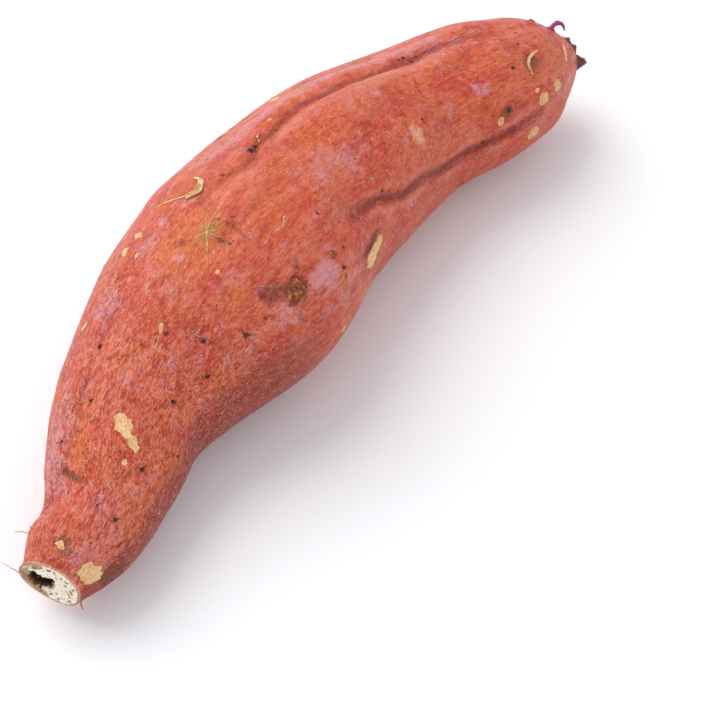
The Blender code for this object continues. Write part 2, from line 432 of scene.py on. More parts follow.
mark("olive", 0.56 * blob(201, 118, 1.3, 1.0, 0, 0.5, 0.6))
mark("olive", 0.50 * blob(195, 113, 1.2, 0.9, 0, 0.5, 0.6))
mark("brown", blob(223, 87, 0.8, 1.3, 0, 0.3), 0.9)

# %% The burst star
# A split that healed: an olive patch with an orange flush round it and two cracks beside it.
STAR = (90, 92.5)
CRACKS = (((93.5, 91.7), (94.1, 101), (93.5, 112)), ((90.1, 96), (90.1, 101.7), (90.7, 107)))
mark("orange", blob(87, 88, 9, 7.5, 0, 0.5, 0.7))
mark("orange", 0.6 * blob(81, 97, 6, 5, 0, 0.6, 0.8))
mark("olive", 0.80 * blob(*STAR, 2.9, 2.4, 0, 0.8, 0.9), 0.15)
for tip in ((98, 88), (94, 85), (84.5, 104)):
    mark("olive", 0.5 * line((STAR, tip), 0.5, 0.35), 0.06)
for places in CRACKS:
    mark("deep", 0.8 * line(places, 0.6, 0.6), -0.1)
mark("dark", 0.45 * blob(85.7, 84, 1.1, 1.3, 0, 0.3, 0.9), -0.05)
mark("lilac", 0.7 * blob(82.3, 88.5, 1.5, 1.6, 0, 0.3, 0.5), 0.30)
mark("dark", 0.4 * blob(83.6, 113.5, 0.6, 1.0, 0, 0.3, 0.6))

# %% The crater and its neighbour
CRATER = (93.5, 146.5)
mark("brown", 0.95 * blob(*CRATER, 3.2, 3.7, 12, 0.5, 0.5), -0.25)
mark("dark", 0.40 * blob(*CRATER, 2.8, 3.3, 12, 0.5, 0.3))
mark("dark", 0.52 * line(((94.8, 142), (96.9, 137), (97.6, 134)), 0.45, 0.8), -0.12)
mark("brown", 0.7 * line(((91.8, 152), (91, 158), (90, 163)), 1.0, 0.8), -0.12)
mark("lilac", 0.8 * blob(90.2, 157, 2.0, 2.0, 0, 0.6, 0.6))
mark("brown", 0.45 * blob(88.8, 138.5, 1.9, 2.4, 0, 0.5, 0.4), -0.22)
mark("deep", 0.75 * blob(89.3, 139, 3.1, 3.3, 0, 0.4, 0.6))
mark("dark", 0.52 * line(((87.2, 141), (86.8, 136), (88.2, 132)), 0.45, 0.7), -0.1)
mark("lilac", 0.7 * blob(87.6, 133, 1.2, 1.4, 0, 0.5, 0.5))

# %% Pits and their fine cracks
# Each rootlet that dropped off left a small dark scar. Along, degrees, size in mm, cracks round it.
PITS = (
    (52.5, 140, 0.85, 5), (15.5, 135, 0.6, 6), (28.5, 138, 0.85, 4), (38, 162, 0.6, 0),
    (65, 150, 0.75, 5), (105.5, 148, 1.3, 0), (106, 157, 0.7, 3), (79, 147, 1.0, 3),
    (84.5, 147, 0.5, 0), (71, 132, 0.7, 0), (109, 150, 0.5, 0), (202.5, 128, 0.8, 0),
    (165.5, 132, 0.7, 0), (109, 128, 0.5, 2), (119, 73, 1.1, 3), (179.5, 81, 0.8, 0),
    (149.5, 79, 0.6, 0), (173.5, 170, 0.7, 0), (187.5, 173, 0.9, 0), (26, 60, 0.5, 2),
    (33, 52, 0.55, 3), (43.5, 76, 0.6, 3), (95.5, 98, 0.5, 0), (12, 155, 0.6, 3),
    (48.5, 171, 0.5, 0), (139.5, 158, 0.6, 0), (133, 150, 0.5, 3), (17, 110, 0.45, 3),
)
pit_draw = np.random.default_rng(7)
star_legs = []  # start and tip of each fine crack round a pit, and its thickness in mm
for along, degrees, size, legs in PITS:
    mark("dark", 0.85 * blob(along, degrees, 0.62 * size, 0.7 * size, 0, 0.35, 0.6), -0.3 * size)
    mark("brown", 0.5 * blob(along, degrees, size * 1.9, size * 1.5, 0, 0.6, 0.9))
    first = pit_draw.uniform(0, 2 * math.pi)
    for leg in range(legs):
        turn = first + leg * 2 * math.pi / legs + pit_draw.uniform(-0.35, 0.35)
        reach = size * pit_draw.uniform(1.8, 3.0)
        round_by = math.degrees(reach * math.sin(turn) / girth_at(along))
        tip = (along + reach * math.cos(turn), degrees + round_by)
        star_legs.append(((along, degrees), tip, 0.16 * size))
        mark("deep", 0.5 * line(((along, degrees), tip), 0.3, 0.5), -0.05)

# %% Small marks strewn over the whole skin
# The sides that are turned away carry the same kinds of marks, so that no side looks unfinished.
SMALL_PITS, SMALL_OVALS = 75, 22
BACK_SCRATCHES = (
    ((32.5, -60), (46.5, -48), (60.5, -52)), ((123, 20), (138.5, 26), (153.5, 22)),
    ((72.5, -120), (86.5, -128)),
)
strewn = np.random.default_rng(23)
for _ in range(SMALL_PITS):
    along, degrees, size = strewn.uniform(6, 218), strewn.uniform(0, 360), strewn.uniform(0.22, 0.5)
    mark("dark", strewn.uniform(0.5, 0.9) * blob(along, degrees, size * 1.3, size, 0, 0.4), -0.12)
for _ in range(SMALL_OVALS):
    along, degrees = strewn.uniform(20, 214), strewn.uniform(190, 420)
    size = strewn.uniform(0.5, 1.5)
    kind = "straw" if strewn.random() < 0.45 else "brown"
    mark(kind, 0.9 * blob(along, degrees, size, size * 1.4, strewn.uniform(-30, 30), 0.5), 0.08)
for places in BACK_SCRATCHES:
    mark("brown", 0.6 * line(places, 0.9, 0.9), -0.12)

# %% Broad colour patches
# Along, degrees, half lengths in mm, and a strength where it differs.
mark("lilac", 0.55 * blob(6.5, 122, 4.5, 7, 0, 0.5, 0.8))
for *oval, strength in (
    (100, 152, 5.2, 4.0, 0.95), (27.5, 38, 9, 5.5, 0.8), (37.5, 46, 8, 5, 0.75),
    (83.5, 65, 3.0, 2.2, 0.7), (67.5, 57, 4.5, 3.2, 0.9), (80.5, 62, 3.0, 2.4, 0.7),
    (123, 112, 8, 6, 0.55), (131.5, 122, 7, 5, 0.6), (16, 120, 6, 5, 0.55), (49.5, 98, 6, 6, 0.4),
    (191, 133, 2.4, 2.0, 0.9), (88.5, 152, 5.0, 4.0, 0.55), (74.5, 158, 6, 6, 0.45),
    (153.5, 100, 9, 3.0, 0.5), (189, 84, 14, 3.4, 0.6), (25, 147, 3.5, 2.2, 0.5),
    (76.5, 95, 5, 5, 0.45), (62.5, 120, 7, 5, 0.4), (108, 168, 8, 5, 0.5), (143.5, -150, 14, 8, 0.5),
    (62.5, -90, 16, 9, 0.5), (173.5, -20, 14, 8, 0.6), (103, 10, 16, 7, 0.5), (199, -100, 9, 8, 0.4),
):
    mark("lilac", strength * blob(*oval, 0, 0.6, 0.85))
for *oval, strength in (
    (30, 74, 6.0, 3.4, 0.95), (38, 72, 5.0, 3.0, 0.6), (86.5, 100, 7, 5, 0.55),
    (128, 100, 10, 7, 0.55), (103, 108, 8, 6, 0.5), (51.5, 153, 5, 4, 0.6), (72.5, 166, 6, 4, 0.65),
    (115, 95, 9, 4, 0.5), (42.5, 130, 6, 5, 0.35), (100, 63, 6, 5, 0.5), (70.5, 105, 6, 6, 0.45),
    (217, 135, 7, 8, 0.5), (17, 140, 4, 4, 0.4), (62.5, -30, 12, 8, 0.5), (153.5, -100, 16, 8, 0.5),
    (113, -60, 14, 9, 0.5),
):
    mark("orange", 1.1 * strength * blob(*oval, 0, 0.6, 0.85))
# The first seven dark red ovals follow the main furrow and paint shade into it; the others are darker patches of
# skin.
for oval in (
    (104, 72, 5, 2.6), (117, 70, 4, 3), (133, 69, 5, 2.2), (150, 75, 5, 1.8), (160, 78, 3, 1.6),
    (176, 76, 4, 2), (196, 80, 5, 1.5), (67, 80, 5, 4), (47, 112, 4, 4), (141, 150, 6, 3),
    (172, 145, 8, 4), (118, 135, 6, 4), (185, 105, 9, 5), (206, 112, 6, 5),
):
    mark("deep", 0.42 * blob(*oval, 0, 0.6, 0.8))
mark("cream", 0.60 * blob(159.5, 138.5, 3.4, 4.0, 0, 0.5, 0.7), 0.06)
mark("lilac", 0.75 * blob(88.5, 62, 1.7, 2.3, 0, 0.4, 0.5))
mark("straw", 0.6 * blob(84, 50, 1.5, 2.2, 0, 0.7, 0.6))
mark("straw", 0.6 * blob(79.5, 48, 1.5, 1.8, 0, 0.7, 0.6))
mark("orange", 0.8 * blob(33, 165, 9, 4.5, 0, 0.6, 0.8))

# %% Painted shade along the furrows and on the low side
SHADED_SIDE = 150  # degrees; the side turned from the key light, painted darker and redder as shade
FURROW_BLOOM = ((108, 55), (125, 57), (145, 60), (165, 66), (190, 70))
below = turn_between(SHADED_SIDE, DEGREES)
shade_share = 0.92 - 0.55 * smooth_step(82, 102, ALONG)
shade_reach = smooth_step(-6, 30, below + 8 * WANDER) * (1 - smooth_step(75, 120, below))
# The side away from the key light is painted dark red as shade, most strongly towards the neck.
mark("deep", shade_share * shade_reach)
# The floors of the main furrow and the lower crease are painted dark red as shade.
mark("deep", 0.55 * band(MAIN_FURROW, 2.2))
mark("deep", 0.9 * band(LOWER_CREASE, 2.4))
mark("deep", 0.7 * line(((68.6, 56), (68.9, 63), (69, 70)), 0.9, 0.4))
mark("lilac", 0.7 * band(FURROW_BLOOM, 3.4))
mark("lilac", 0.8 * line(((62, 40), (64.6, 46), (66.4, 56), (67, 66)), 1.9, 0.3))
mark("straw", 0.8 * line(((60.2, 33), (61.6, 37.5), (63, 41)), 0.75, 0.3))
mark("brown", 0.75 * crease_floor * smooth_step(-0.2, 0.5, WANDER + 0.5 * RAGGED))
mark("brown", 0.6 * main_floor * smooth_step(0.0, 0.6, WANDER + 0.6 * RAGGED))
marks["grain"] = np.clip(0.25 + 0.75 * neckness + 0.25 * WANDER, 0, 1)
print({name: int((mask > 0.5).sum()) for name, mask in marks.items()})

# %% [markdown]
# ## The skin as one closed mesh
# The relief moves every point along the smooth surface's normal. At the neck the skin turns over the
# cut's rim, runs down a short wall and closes behind it, which leaves a shallow seat for the cut face.
# The belly is pressed flat where it rests, as the root's own weight flattens a soft spot.


# %% Move the skin by its relief
def grid_normals(points):
    """Outward normals of the skin's grid."""
    lengthwise = np.gradient(points, axis=0)
    crosswise = np.roll(points, -1, axis=1) - np.roll(points, 1, axis=1)
    return unit(np.cross(crosswise, lengthwise) + 1e-15)


RIM_CALM = 2.2  # mm from the cut's edge over which the relief fades in
CUT_LEAN, LEAN_REACH = math.radians(5), 6.0  # the knife's slight extra lean, fading over some mm
height *= 0.25 + 0.75 * smooth_step(0, RIM_CALM, ALONG)
normals = grid_normals(skin_points)
if (normals * directions).sum() < 0:
    normals = -normals
skin_points = skin_points + normals * (height * MM)[:, :, None]
skin_points[-1] = skin_points[-1].mean(axis=0)
beside = (skin_points - ring_origin[:, None]) @ np.array(cut_side)
lean = math.tan(CUT_LEAN) * np.exp(-ALONG / LEAN_REACH) * (1 - smooth_step(2, 4, ALONG / LEAN_REACH))
skin_points = skin_points + (beside * lean)[:, :, None] * np.array(cut_normal)
skin_points[:, :, 2] = np.maximum(skin_points[:, :, 2], 0.0)
cut_normal = (cut_normal * math.cos(CUT_LEAN) - cut_side * math.sin(CUT_LEAN)).normalized()
cut_side = Vector((0, 0, 1)).cross(-cut_normal).normalized()
cut_axis = np.array(cut_normal)

# %% Turn the skin over the cut's rim
SEAT_DEPTH = 3.4 * MM
rim = skin_points[0]
rim_middle = rim.mean(axis=0)


def inset(points, by, sink):
    """The rim moved towards the cut's middle and sunk behind the cut."""
    inward = rim_middle - points
    share = by / np.linalg.norm(inward, axis=1, keepdims=True)
    return points + inward * share - cut_axis * sink


SEAT_STEPS = ((0.10, -0.08), (0.22, -0.04), (0.30, 0.20))  # mm inwards and down, over the lip
seat_rings = [inset(rim, by * MM, sink * MM) for by, sink in SEAT_STEPS]
seat_rings += [inset(rim, 0.34 * MM, SEAT_DEPTH), inset(rim, 4.0 * MM, SEAT_DEPTH)]
seat_middle = rim_middle - cut_axis * SEAT_DEPTH
print("rim across:", round(float(np.ptp(rim @ np.array(cut_side))) / MM, 1), "mm")


# %% Build meshes from rings
def turn_outwards(mesh):
    """Makes every face of a closed mesh look out, and shades it smooth."""
    work = bmesh.new()
    work.from_mesh(mesh)
    bmesh.ops.recalc_face_normals(work, faces=work.faces)
    if work.calc_volume(signed=True) < 0:
        bmesh.ops.reverse_faces(work, faces=work.faces)
    for face in work.faces:
        face.smooth = True
    work.to_mesh(mesh)
    work.free()


def grid_mesh(name, rings, start=None, end=None):
    """A closed mesh from rings of points, each end closed by a fan to a point or to its own middle."""
    rings = [np.asarray(ring, float) for ring in rings]
    count = len(rings[0])
    start = rings[0].mean(axis=0) if start is None else start
    end = rings[-1].mean(axis=0) if end is None else end
    points = np.concatenate([*rings, [start, end]])
    first, last = len(points) - 2, len(points) - 1
    top = (len(rings) - 1) * count
    faces = []
    for low in range(0, top, count):
        for k in range(count):
            n = (k + 1) % count
            faces.append((low + k, low + count + k, low + count + n, low + n))
    for k in range(count):
        n = (k + 1) % count
        faces.append((first, k, n))
        faces.append((top + k, last, top + n))
    mesh = bpy.data.meshes.new(name)
    mesh.from_pydata(points.tolist(), [], faces)
    mesh.update()
    turn_outwards(mesh)
    return mesh


def show(mesh, node, material):
    """Puts a finished mesh in the scene as a piece of the root."""
    piece = bpy.data.objects.new(mesh.name, mesh)
    bpy.context.scene.collection.objects.link(piece)
    mesh.materials.clear()
    mesh.materials.append(material)
    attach(piece, "root")
    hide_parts(node)
    print(piece.name, "faces:", len(mesh.polygons))


# %% Keep values and a map on a mesh
def keep_values(mesh, name, values, kind="FLOAT"):
    """Stores one value, or one vector, per point of a mesh for its material."""
    attribute = mesh.attributes.new(name, kind, "POINT")
    field = "vector" if kind == "FLOAT_VECTOR" else "value"
    attribute.data.foreach_set(field, np.asarray(values, np.float32).ravel())


def with_seat(values, seat_value):
    """Values of the skin's grid, with one value for the seat behind the cut and both end points."""
    values = np.asarray(values, float)[:-1]
    lead = np.full((len(seat_rings), SIDES), float(seat_value))
    return np.concatenate([lead.ravel(), values.ravel(), [seat_value, np.mean(values[-1])]])


def unwrap_rings(mesh, ring_count, sides, lengths):
    """A map with rings laid side by side and the seam underneath."""
    layer = mesh.uv_layers.new(name="OFBake")
    index = np.empty(len(mesh.loops), np.int32)
    mesh.loops.foreach_get("vertex_index", index)
    on_ring = index < ring_count * sides
    around = np.where(on_ring, (index % sides) / sides, 0.5)
    share = np.asarray(lengths)[np.where(on_ring, index // sides, 0)]
    share = np.where(index == ring_count * sides, 0.0, share)
    share = np.where(index == ring_count * sides + 1, 1.0, share)
    start = 0
    for polygon in mesh.polygons:
        loops = slice(start, start + polygon.loop_total)
        start += polygon.loop_total
        if np.ptp(around[loops]) > 0.5:
            around[loops] = np.where(around[loops] < 0.25, around[loops] + 1, around[loops])
    places = np.stack([0.004 + 0.992 * share, 0.004 + 0.988 * around], axis=1)
    layer.data.foreach_set("uv", places.ravel())


# %% Make the skin's mesh
LIP_WIDTH = 0.35  # mm of pale, dry edge round the cut
skin_rings = [*reversed(seat_rings), *skin_points[:-1]]
skin_mesh = grid_mesh("skin", skin_rings, start=seat_middle, end=skin_points[-1].mean(axis=0))
for name, mask in marks.items():
    keep_values(skin_mesh, name, with_seat(mask, 0.0))
keep_values(skin_mesh, "lip", with_seat(np.exp(-((EVERYWHERE / LIP_WIDTH) ** 2)), 1.0))
# Hollows of the relief are kept here to be painted darker as shade, and raised places to be painted paler as
# highlights.
sunk = np.clip((blurred(height, 5, 6) - height) / 0.35, -1, 1)
keep_values(skin_mesh, "sunk", with_seat(sunk, 0.0))
lead_straight = np.repeat(straight[:1], len(seat_rings), axis=0)
all_straight = np.concatenate([lead_straight, straight[:-1]]).reshape(-1, 3)
end_straight = [straight[0].mean(axis=0), straight[-1].mean(axis=0)]
keep_values(skin_mesh, "straight", np.concatenate([all_straight, end_straight]), "FLOAT_VECTOR")
body_shares = 0.024 + 0.976 * ring_along[:-1] / ring_along[-1]
ring_shares = np.concatenate([np.linspace(0.0, 0.02, len(seat_rings)), body_shares])
unwrap_rings(skin_mesh, len(skin_rings), SIDES, ring_shares)
print("skin points:", len(skin_mesh.vertices), "faces:", len(skin_mesh.polygons))

# %% [markdown]
# ## Shader maths in Python
# A finish is a long sum of masks and colours. `Wire` wraps one socket, so that the sums can be
# written as sums; `Look` makes a material and any node in it.


# %% Wires and looks
def feed(tree, slot, value):
    """Links a wire or a socket to a slot, or sets the slot to a plain value."""
    value = getattr(value, "socket", value)
    if isinstance(value, bpy.types.NodeSocket):
        tree.links.new(value, slot)
    else:
        slot.default_value = value


def add_node(tree, kind, sockets, settings):
    """A node: its settings first, then the values and links of its sockets, by name or number."""
    made = tree.nodes.new(kind)
    for key, value in settings.items():
        setattr(made, key, value)
    for key, value in sockets.items():
        feed(tree, made.inputs[key], value)
    return made


class Wire:
    """A shader socket that takes part in Python sums."""

    def __init__(self, look, socket):
        self.look, self.socket = look, socket

    def maths(self, operation, *terms):
        return self.look.node("Math", dict(enumerate(terms)), operation=operation)

    def __add__(self, other):
        return self.maths("ADD", self, other)

    def __sub__(self, other):
        return self.maths("SUBTRACT", self, other)

    def __rsub__(self, other):
        return self.maths("SUBTRACT", other, self)

    def __mul__(self, other):
        return self.maths("MULTIPLY", self, other)

    def most(self, other):
        return self.maths("MAXIMUM", self, other)

    __radd__ = __add__
    __rmul__ = __mul__


def paint(code):
    """A colour written as six hex digits, in linear light."""
    parts = [int(code[k : k + 2], 16) / 255 for k in (0, 2, 4)]
    return tuple(p / 12.92 if p <= 0.04045 else ((p + 0.055) / 1.055) ** 2.4 for p in parts) + (1.0,)


def palette(**codes):
    """Named colours."""
    return SimpleNamespace(**{name: paint(code) for name, code in codes.items()})


class Look:
    """A Principled material whose varying values are built from wires."""

    def __init__(self, name, **settled):
        self.material = bpy.data.materials.new(name)
        self.material.use_nodes = True
        self.tree = self.material.node_tree
        self.shader = self.tree.nodes["Principled BSDF"]
        for key, value in settled.items():
            self.shader.inputs[key.replace("_", " ")].default_value = value

    def node(self, kind, sockets, output=0, **settings):
        made = add_node(self.tree, "ShaderNode" + kind, sockets, settings)
        return Wire(self, made.outputs[output])

    def kept(self, name, output="Fac"):
        """A value stored on the mesh."""
        return self.node("Attribute", {}, output, attribute_name=name)

    def moved(self, place, rate, shift=None):
        """A place times a rate along each way, and shifted to another stretch of a pattern."""
        rate = rate if isinstance(rate, tuple) else (rate, rate, rate)
        place = self.node("VectorMath", {0: place, 1: rate}, operation="MULTIPLY")
        if shift is None:
            return place
        return self.node("VectorMath", {0: place, 1: shift}, operation="ADD")

    def noise(self, place, rate, detail=2.0, roughness=0.5, warp=0.0, shift=None):
        values = {"Scale": 1.0, "Detail": detail, "Roughness": roughness, "Distortion": warp}
        return self.node("TexNoise", {"Vector": self.moved(place, rate, shift), **values})

    def cells(self, place, rate, shift=None):
        """The way to the middle of the nearest cell."""
        return self.node("TexVoronoi", {"Vector": self.moved(place, rate, shift), "Scale": 1.0})

    def step(self, value, low, high):
        sockets = {"Value": value, "From Min": low, "From Max": high}
        return self.node("MapRange", sockets, interpolation_type="SMOOTHSTEP")

    def blend(self, share, a, b):
        """Two colours mixed by a share."""
        return self.node("Mix", {0: share, 6: a, 7: b}, 2, data_type="RGBA")

    def layers(self, colour, *coats):
        """Colours laid over one another, each by its share, the last on top."""
        for share, tint in coats:
            colour = self.blend(share, colour, tint)
        return colour

    def finish(self, colour, roughness, relief=None, strength=1.0, coat=None):
        """Feeds the shader; the relief is a wire in mm."""
        bump = None
        if relief is not None:
            bump = self.node("Bump", {"Strength": strength, "Distance": MM, "Height": relief})
        fed = {"Base Color": colour, "Roughness": roughness, "Coat Weight": coat, "Normal": bump}
        for name, value in fed.items():
            if value is not None:
                feed(self.tree, self.shader.inputs[name], value)
        return self.material


# %% [markdown]
# ## The skin's finish
# The cork is a thin red film over pale tissue. Its colour drifts from salmon to orange and pink in
# patches of a centimetre, and towards the neck it is drawn into short dark lengthwise dashes with
# fine pale specks between. The marks made above are thresholded here against fine noise, which gives
# them crisp, frayed edges that the mesh alone is too coarse to hold.

# %% Skin colours and noises
TINT = palette(
    salmon="c2422c", coral="cf6242", orange="ca5e20", pink="cf7878", lilac="cf8c92",
    deep_red="761c14", crimson="a32a22", straw="ecc28e", straw_dark="cf9a5c", cream="f3dcb6",
    black_brown="33201e", brown="7a4a30", olive="b08a40",
    pale_fleck="dc8c70", dark_fleck="98281f", glint="e8aa88", dark_dash="7e2420",
    pale_dash="de8a6c", speck="e8a98c", pore="7c2b2a", bloom="e09a86", raised="dd8f7c",
    brown_fold="5a2f22", olive_fold="8a6a3a", scraped_edge="9a4a30", bruise="7a3026",
    crust="4c2c24", lip_pale="e6c29c", lip_red="b5705a",
)
skin = Look("sweet_potato_skin", Specular_IOR_Level=0.23, Coat_Roughness=0.34)
place = skin.kept("straight", "Vector")
grain_share = skin.kept("grain")


def lumps(along, across):
    """The rate of a pattern with lumps of these sizes in mm along and round the root."""
    return (1 / along, 1 / across, 1 / across)


patches = skin.noise(place, lumps(13, 8), 3, 0.55)
drift = skin.noise(place, lumps(8, 4.5), 4, 0.6, 0.4, (7.1, 3.3, 9.2))
cloudy = skin.noise(place, lumps(4, 2.6), 4, 0.65, shift=(1.9, 8.4, 2.6))
fine = skin.noise(place, lumps(0.9, 0.55), 3, 0.6)
fray = skin.noise(place, lumps(0.8, 0.6), 4, 0.7, shift=(4.0, 6.0, 1.0))
mottle = skin.noise(place, lumps(1.9, 1.15), 5, 0.72, 0.3, (9.1, 2.2, 5.7))
glints = skin.noise(place, lumps(0.8, 0.5), 3, 0.7, shift=(2.1, 7.2, 3.7))
dashes = skin.noise(place, lumps(2.1, 0.36), 2, 0.5, 0.6)
speck_cells = skin.cells(place, lumps(1.3, 0.62))
pore_cells = skin.cells(place, lumps(2.3, 1.7), (3.3, 5.2, 8.8))


def frayed(name, low, high, share):
    """A stored mark with its edge broken up by fine noise."""
    return skin.step(skin.kept(name) + (fray - 0.5) * share, low, high)


# %% The skin's living colour
# Broad patches come first, then flecks of about a millimetre, then the lengthwise dashes.
orange = skin.step(skin.kept("orange") + (cloudy - 0.5) * 0.8, 0.15, 0.90)
lilac = skin.step(skin.kept("lilac") + (cloudy - 0.5) + (fine - 0.5) * 0.5, 0.20, 1.00)
deep = skin.step(skin.kept("deep") + (cloudy - 0.5) * 0.7, 0.2, 1.0)
colour = skin.layers(
    skin.blend(skin.step(patches, 0.38, 0.62), TINT.salmon, TINT.coral),
    (0.80 * skin.step(drift, 0.50, 0.66), TINT.orange),
    (0.80 * skin.step(cloudy, 0.52, 0.68), TINT.pink),
    (0.70 * skin.step(1 - cloudy, 0.53, 0.68), TINT.crimson),
    (0.92 * orange, TINT.orange),
    (0.85 * lilac, TINT.lilac),
    # This dark red is the skin's own in cracks and blotches, and painted shade on the low side and in the
    # furrows.
    (0.80 * deep, TINT.deep_red),
)
speckle = 0.55 + 0.45 * grain_share  # the flecks are strongest in the neck
dark_dash = skin.step(dashes, 0.53, 0.66)
pale_dash = skin.step(1 - dashes, 0.55, 0.68)
fibre_gate = skin.step(drift + cloudy * 0.6, 0.55, 0.95) * 0.5 + 0.5
specks = skin.step(0.26 - speck_cells, 0.0, 0.12) * skin.step(cloudy + fine * 0.5, 0.66, 0.86)
pores = skin.step(0.16 - pore_cells, 0.0, 0.07) * skin.step(drift, 0.46, 0.58)
colour = skin.layers(
    colour,
    (speckle * 0.58 * skin.step(mottle, 0.50, 0.68), TINT.pale_fleck),
    (speckle * 0.72 * skin.step(1 - mottle, 0.50, 0.66), TINT.dark_fleck),
    (0.50 * skin.step(glints, 0.60, 0.74), TINT.glint),
    (dark_dash * (0.12 + 0.70 * grain_share) * fibre_gate, TINT.dark_dash),
    (pale_dash * (0.12 + 0.40 * grain_share), TINT.pale_dash),
    (specks * (0.35 + 0.45 * grain_share), TINT.speck),
    (0.75 * pores, TINT.pore),
    (0.30 * skin.step(fine, 0.50, 0.80), TINT.bloom),
    # Painted shade in the hollows of the relief, and painted highlights on its raised places.
    (0.45 * skin.step(skin.kept("sunk"), 0.15, 1.0), TINT.deep_red),
    (0.30 * skin.step(0 - skin.kept("sunk"), 0.15, 1.0), TINT.raised),
)

# %% The skin's marks, palest first and darkest last
straw = frayed("straw", 0.38, 0.60, 0.6)
brown = frayed("brown", 0.30, 0.85, 0.9)
dark = frayed("dark", 0.30, 0.72, 0.6)
dark_edge = frayed("dark", 0.12, 0.42, 0.6)
olive = frayed("olive", 0.20, 0.80, 0.9)
cream = frayed("cream", 0.22, 0.86, 0.7)
scraped_edge = skin.step(skin.kept("straw"), 0.10, 0.42) * (1 - straw)
straw_tint = skin.layers(
    skin.blend(skin.step(fine * 0.6 + fray * 0.4, 0.42, 0.66), TINT.straw, TINT.straw_dark),
    (0.5 * skin.step(cloudy, 0.5, 0.7), TINT.cream),
)
brown_tint = skin.blend(fray, TINT.brown, TINT.brown_fold)
olive_tint = skin.blend(skin.step(fray, 0.4, 0.6), TINT.olive, TINT.olive_fold)
dark_tint = skin.blend(skin.step(fray, 0.45, 0.6), TINT.black_brown, TINT.crust)
lip_tint = skin.blend(skin.step(fray, 0.4, 0.62), TINT.lip_pale, TINT.lip_red)
colour = skin.layers(
    colour,
    (brown * 0.70, brown_tint),
    (olive * 0.72, olive_tint),
    (straw * 0.95, straw_tint),
    (cream * 0.50, TINT.cream),
    (scraped_edge * 0.45, TINT.scraped_edge),
    (dark_edge * 0.55, TINT.bruise),
    (dark * 0.85, dark_tint),
    (skin.kept("lip") * 0.85, lip_tint),
)

# %% The skin's gloss and fine relief
dry = straw.most(brown * 0.6).most(dark).most(olive * 0.7)
roughness = 0.46 + 0.16 * (fine - 0.5) + 0.10 * (patches - 0.5) + 0.28 * dry + 0.05 * dark_dash
skin_relief = (
    0.10 * fine * (0.35 + 0.65 * grain_share)
    - 0.11 * dark_dash * (0.3 + 0.7 * grain_share)
    - 0.10 * pores
    + 0.05 * specks
    + 0.10 * straw * fray
    - 0.14 * dark
    + 0.12 * (cloudy - 0.5)
    + 0.08 * (mottle - 0.5)
)
skin_finish = skin.finish(colour, roughness, skin_relief, 0.9, 0.07 * (1 - dry))
show(skin_mesh, "tuber", skin_finish)

# %% [markdown]
# ## The cut face
# Where the root was parted from its plant the flesh shows: dry cream pith inside a thin corky rim, a
# ring of brown dots where the sap vessels were cut, and a rotted hollow with five lobes. It is a
# plug of its own that fills the seat, so that flesh and skin can have finishes of their own.

# %% Lay out the cut face
CUT_RINGS = 46
PLUG_GAP = 0.38 * MM
plug_edge = inset(rim, PLUG_GAP, 0.0)
plug_middle = plug_edge.mean(axis=0)
shares = np.linspace(1, 0.02, CUT_RINGS)
plug = plug_middle + (plug_edge - plug_middle)[None] * shares[:, None, None]


def on_cut(points):
    """Distances in mm across and up from the middle of the cut face."""
    return tuple((points - plug_middle) @ np.array(way) / MM for way in (cut_side, cut_up))


across, rise = on_cut(plug)
edge_gap = np.linalg.norm(plug - plug_edge[None], axis=2) / MM


def cut_cloud(size, seed, octaves=3):
    """Noise over the cut face, with lumps of a size in mm."""
    places = [Vector((a / size, b / size, seed * 9.7)) for a, b in zip(across.ravel(), rise.ravel())]
    return np.array([noise.fractal(p, 1.0, 2.0, octaves) for p in places]).reshape(across.shape)


cut_fray = cut_cloud(0.7, 1)
cut_wave = cut_cloud(3.0, 2)
print("cut face:", round(float(np.ptp(across)), 1), "x", round(float(np.ptp(rise)), 1), "mm")

# %% Hollow, vessels, stain and rim of the cut face
LOBES = (  # across and up from the middle, half width and half height, in mm
    (1.6, -0.5, 2.6, 2.3), (4.2, 1.2, 1.7, 1.6), (3.2, -2.0, 1.9, 1.4), (-0.2, 1.1, 1.2, 1.1),
    (5.0, -0.6, 1.3, 1.7),
)
VESSELS = 34
HOLLOW_DEPTH = 2.3  # mm
hollow = np.zeros(across.shape)
for side, up, wide, tall in LOBES:
    lobe = np.hypot((across - side) / wide, (rise - up) / tall) + 0.30 * cut_fray
    hollow = np.maximum(hollow, 1 - smooth_step(0.72, 1.15, lobe))
vessels = np.zeros(across.shape)
vessel_draw = np.random.default_rng(5)
for k in range(VESSELS):
    turn = 2 * math.pi * (k + vessel_draw.uniform(-0.3, 0.3)) / VESSELS
    outward = vessel_draw.uniform(0.72, 0.84) if k % 4 else vessel_draw.uniform(0.45, 0.68)
    column = int(turn / (2 * math.pi) * SIDES) % SIDES
    a0, r0 = on_cut(plug_middle + (plug_edge[column] - plug_middle) * outward)
    away = np.hypot(across - a0, rise - r0) / vessel_draw.uniform(0.20, 0.48) + 0.4 * cut_fray
    vessels = np.maximum(vessels, 1 - smooth_step(0.7, 1.3, away))
stain = np.clip(smooth_step(-1.0, 4.0, across) * 0.75 + 0.55 * cut_wave, 0, 1)
stain *= 1 - smooth_step(1.2, 3.4, edge_gap)
cork = 1 - smooth_step(0.12, 0.55, edge_gap + 0.25 * cut_fray)
groove = np.exp(-(((edge_gap - 0.9) / 0.35) ** 2))
hollow_lip = np.exp(-(((hollow - 0.35) / 0.2) ** 2))
cut_height = 0.12 * cut_wave + 0.07 * cut_fray + 0.10 * cork - 0.08 * groove
cut_height += 0.18 * vessels - HOLLOW_DEPTH * hollow + 0.25 * hollow_lip

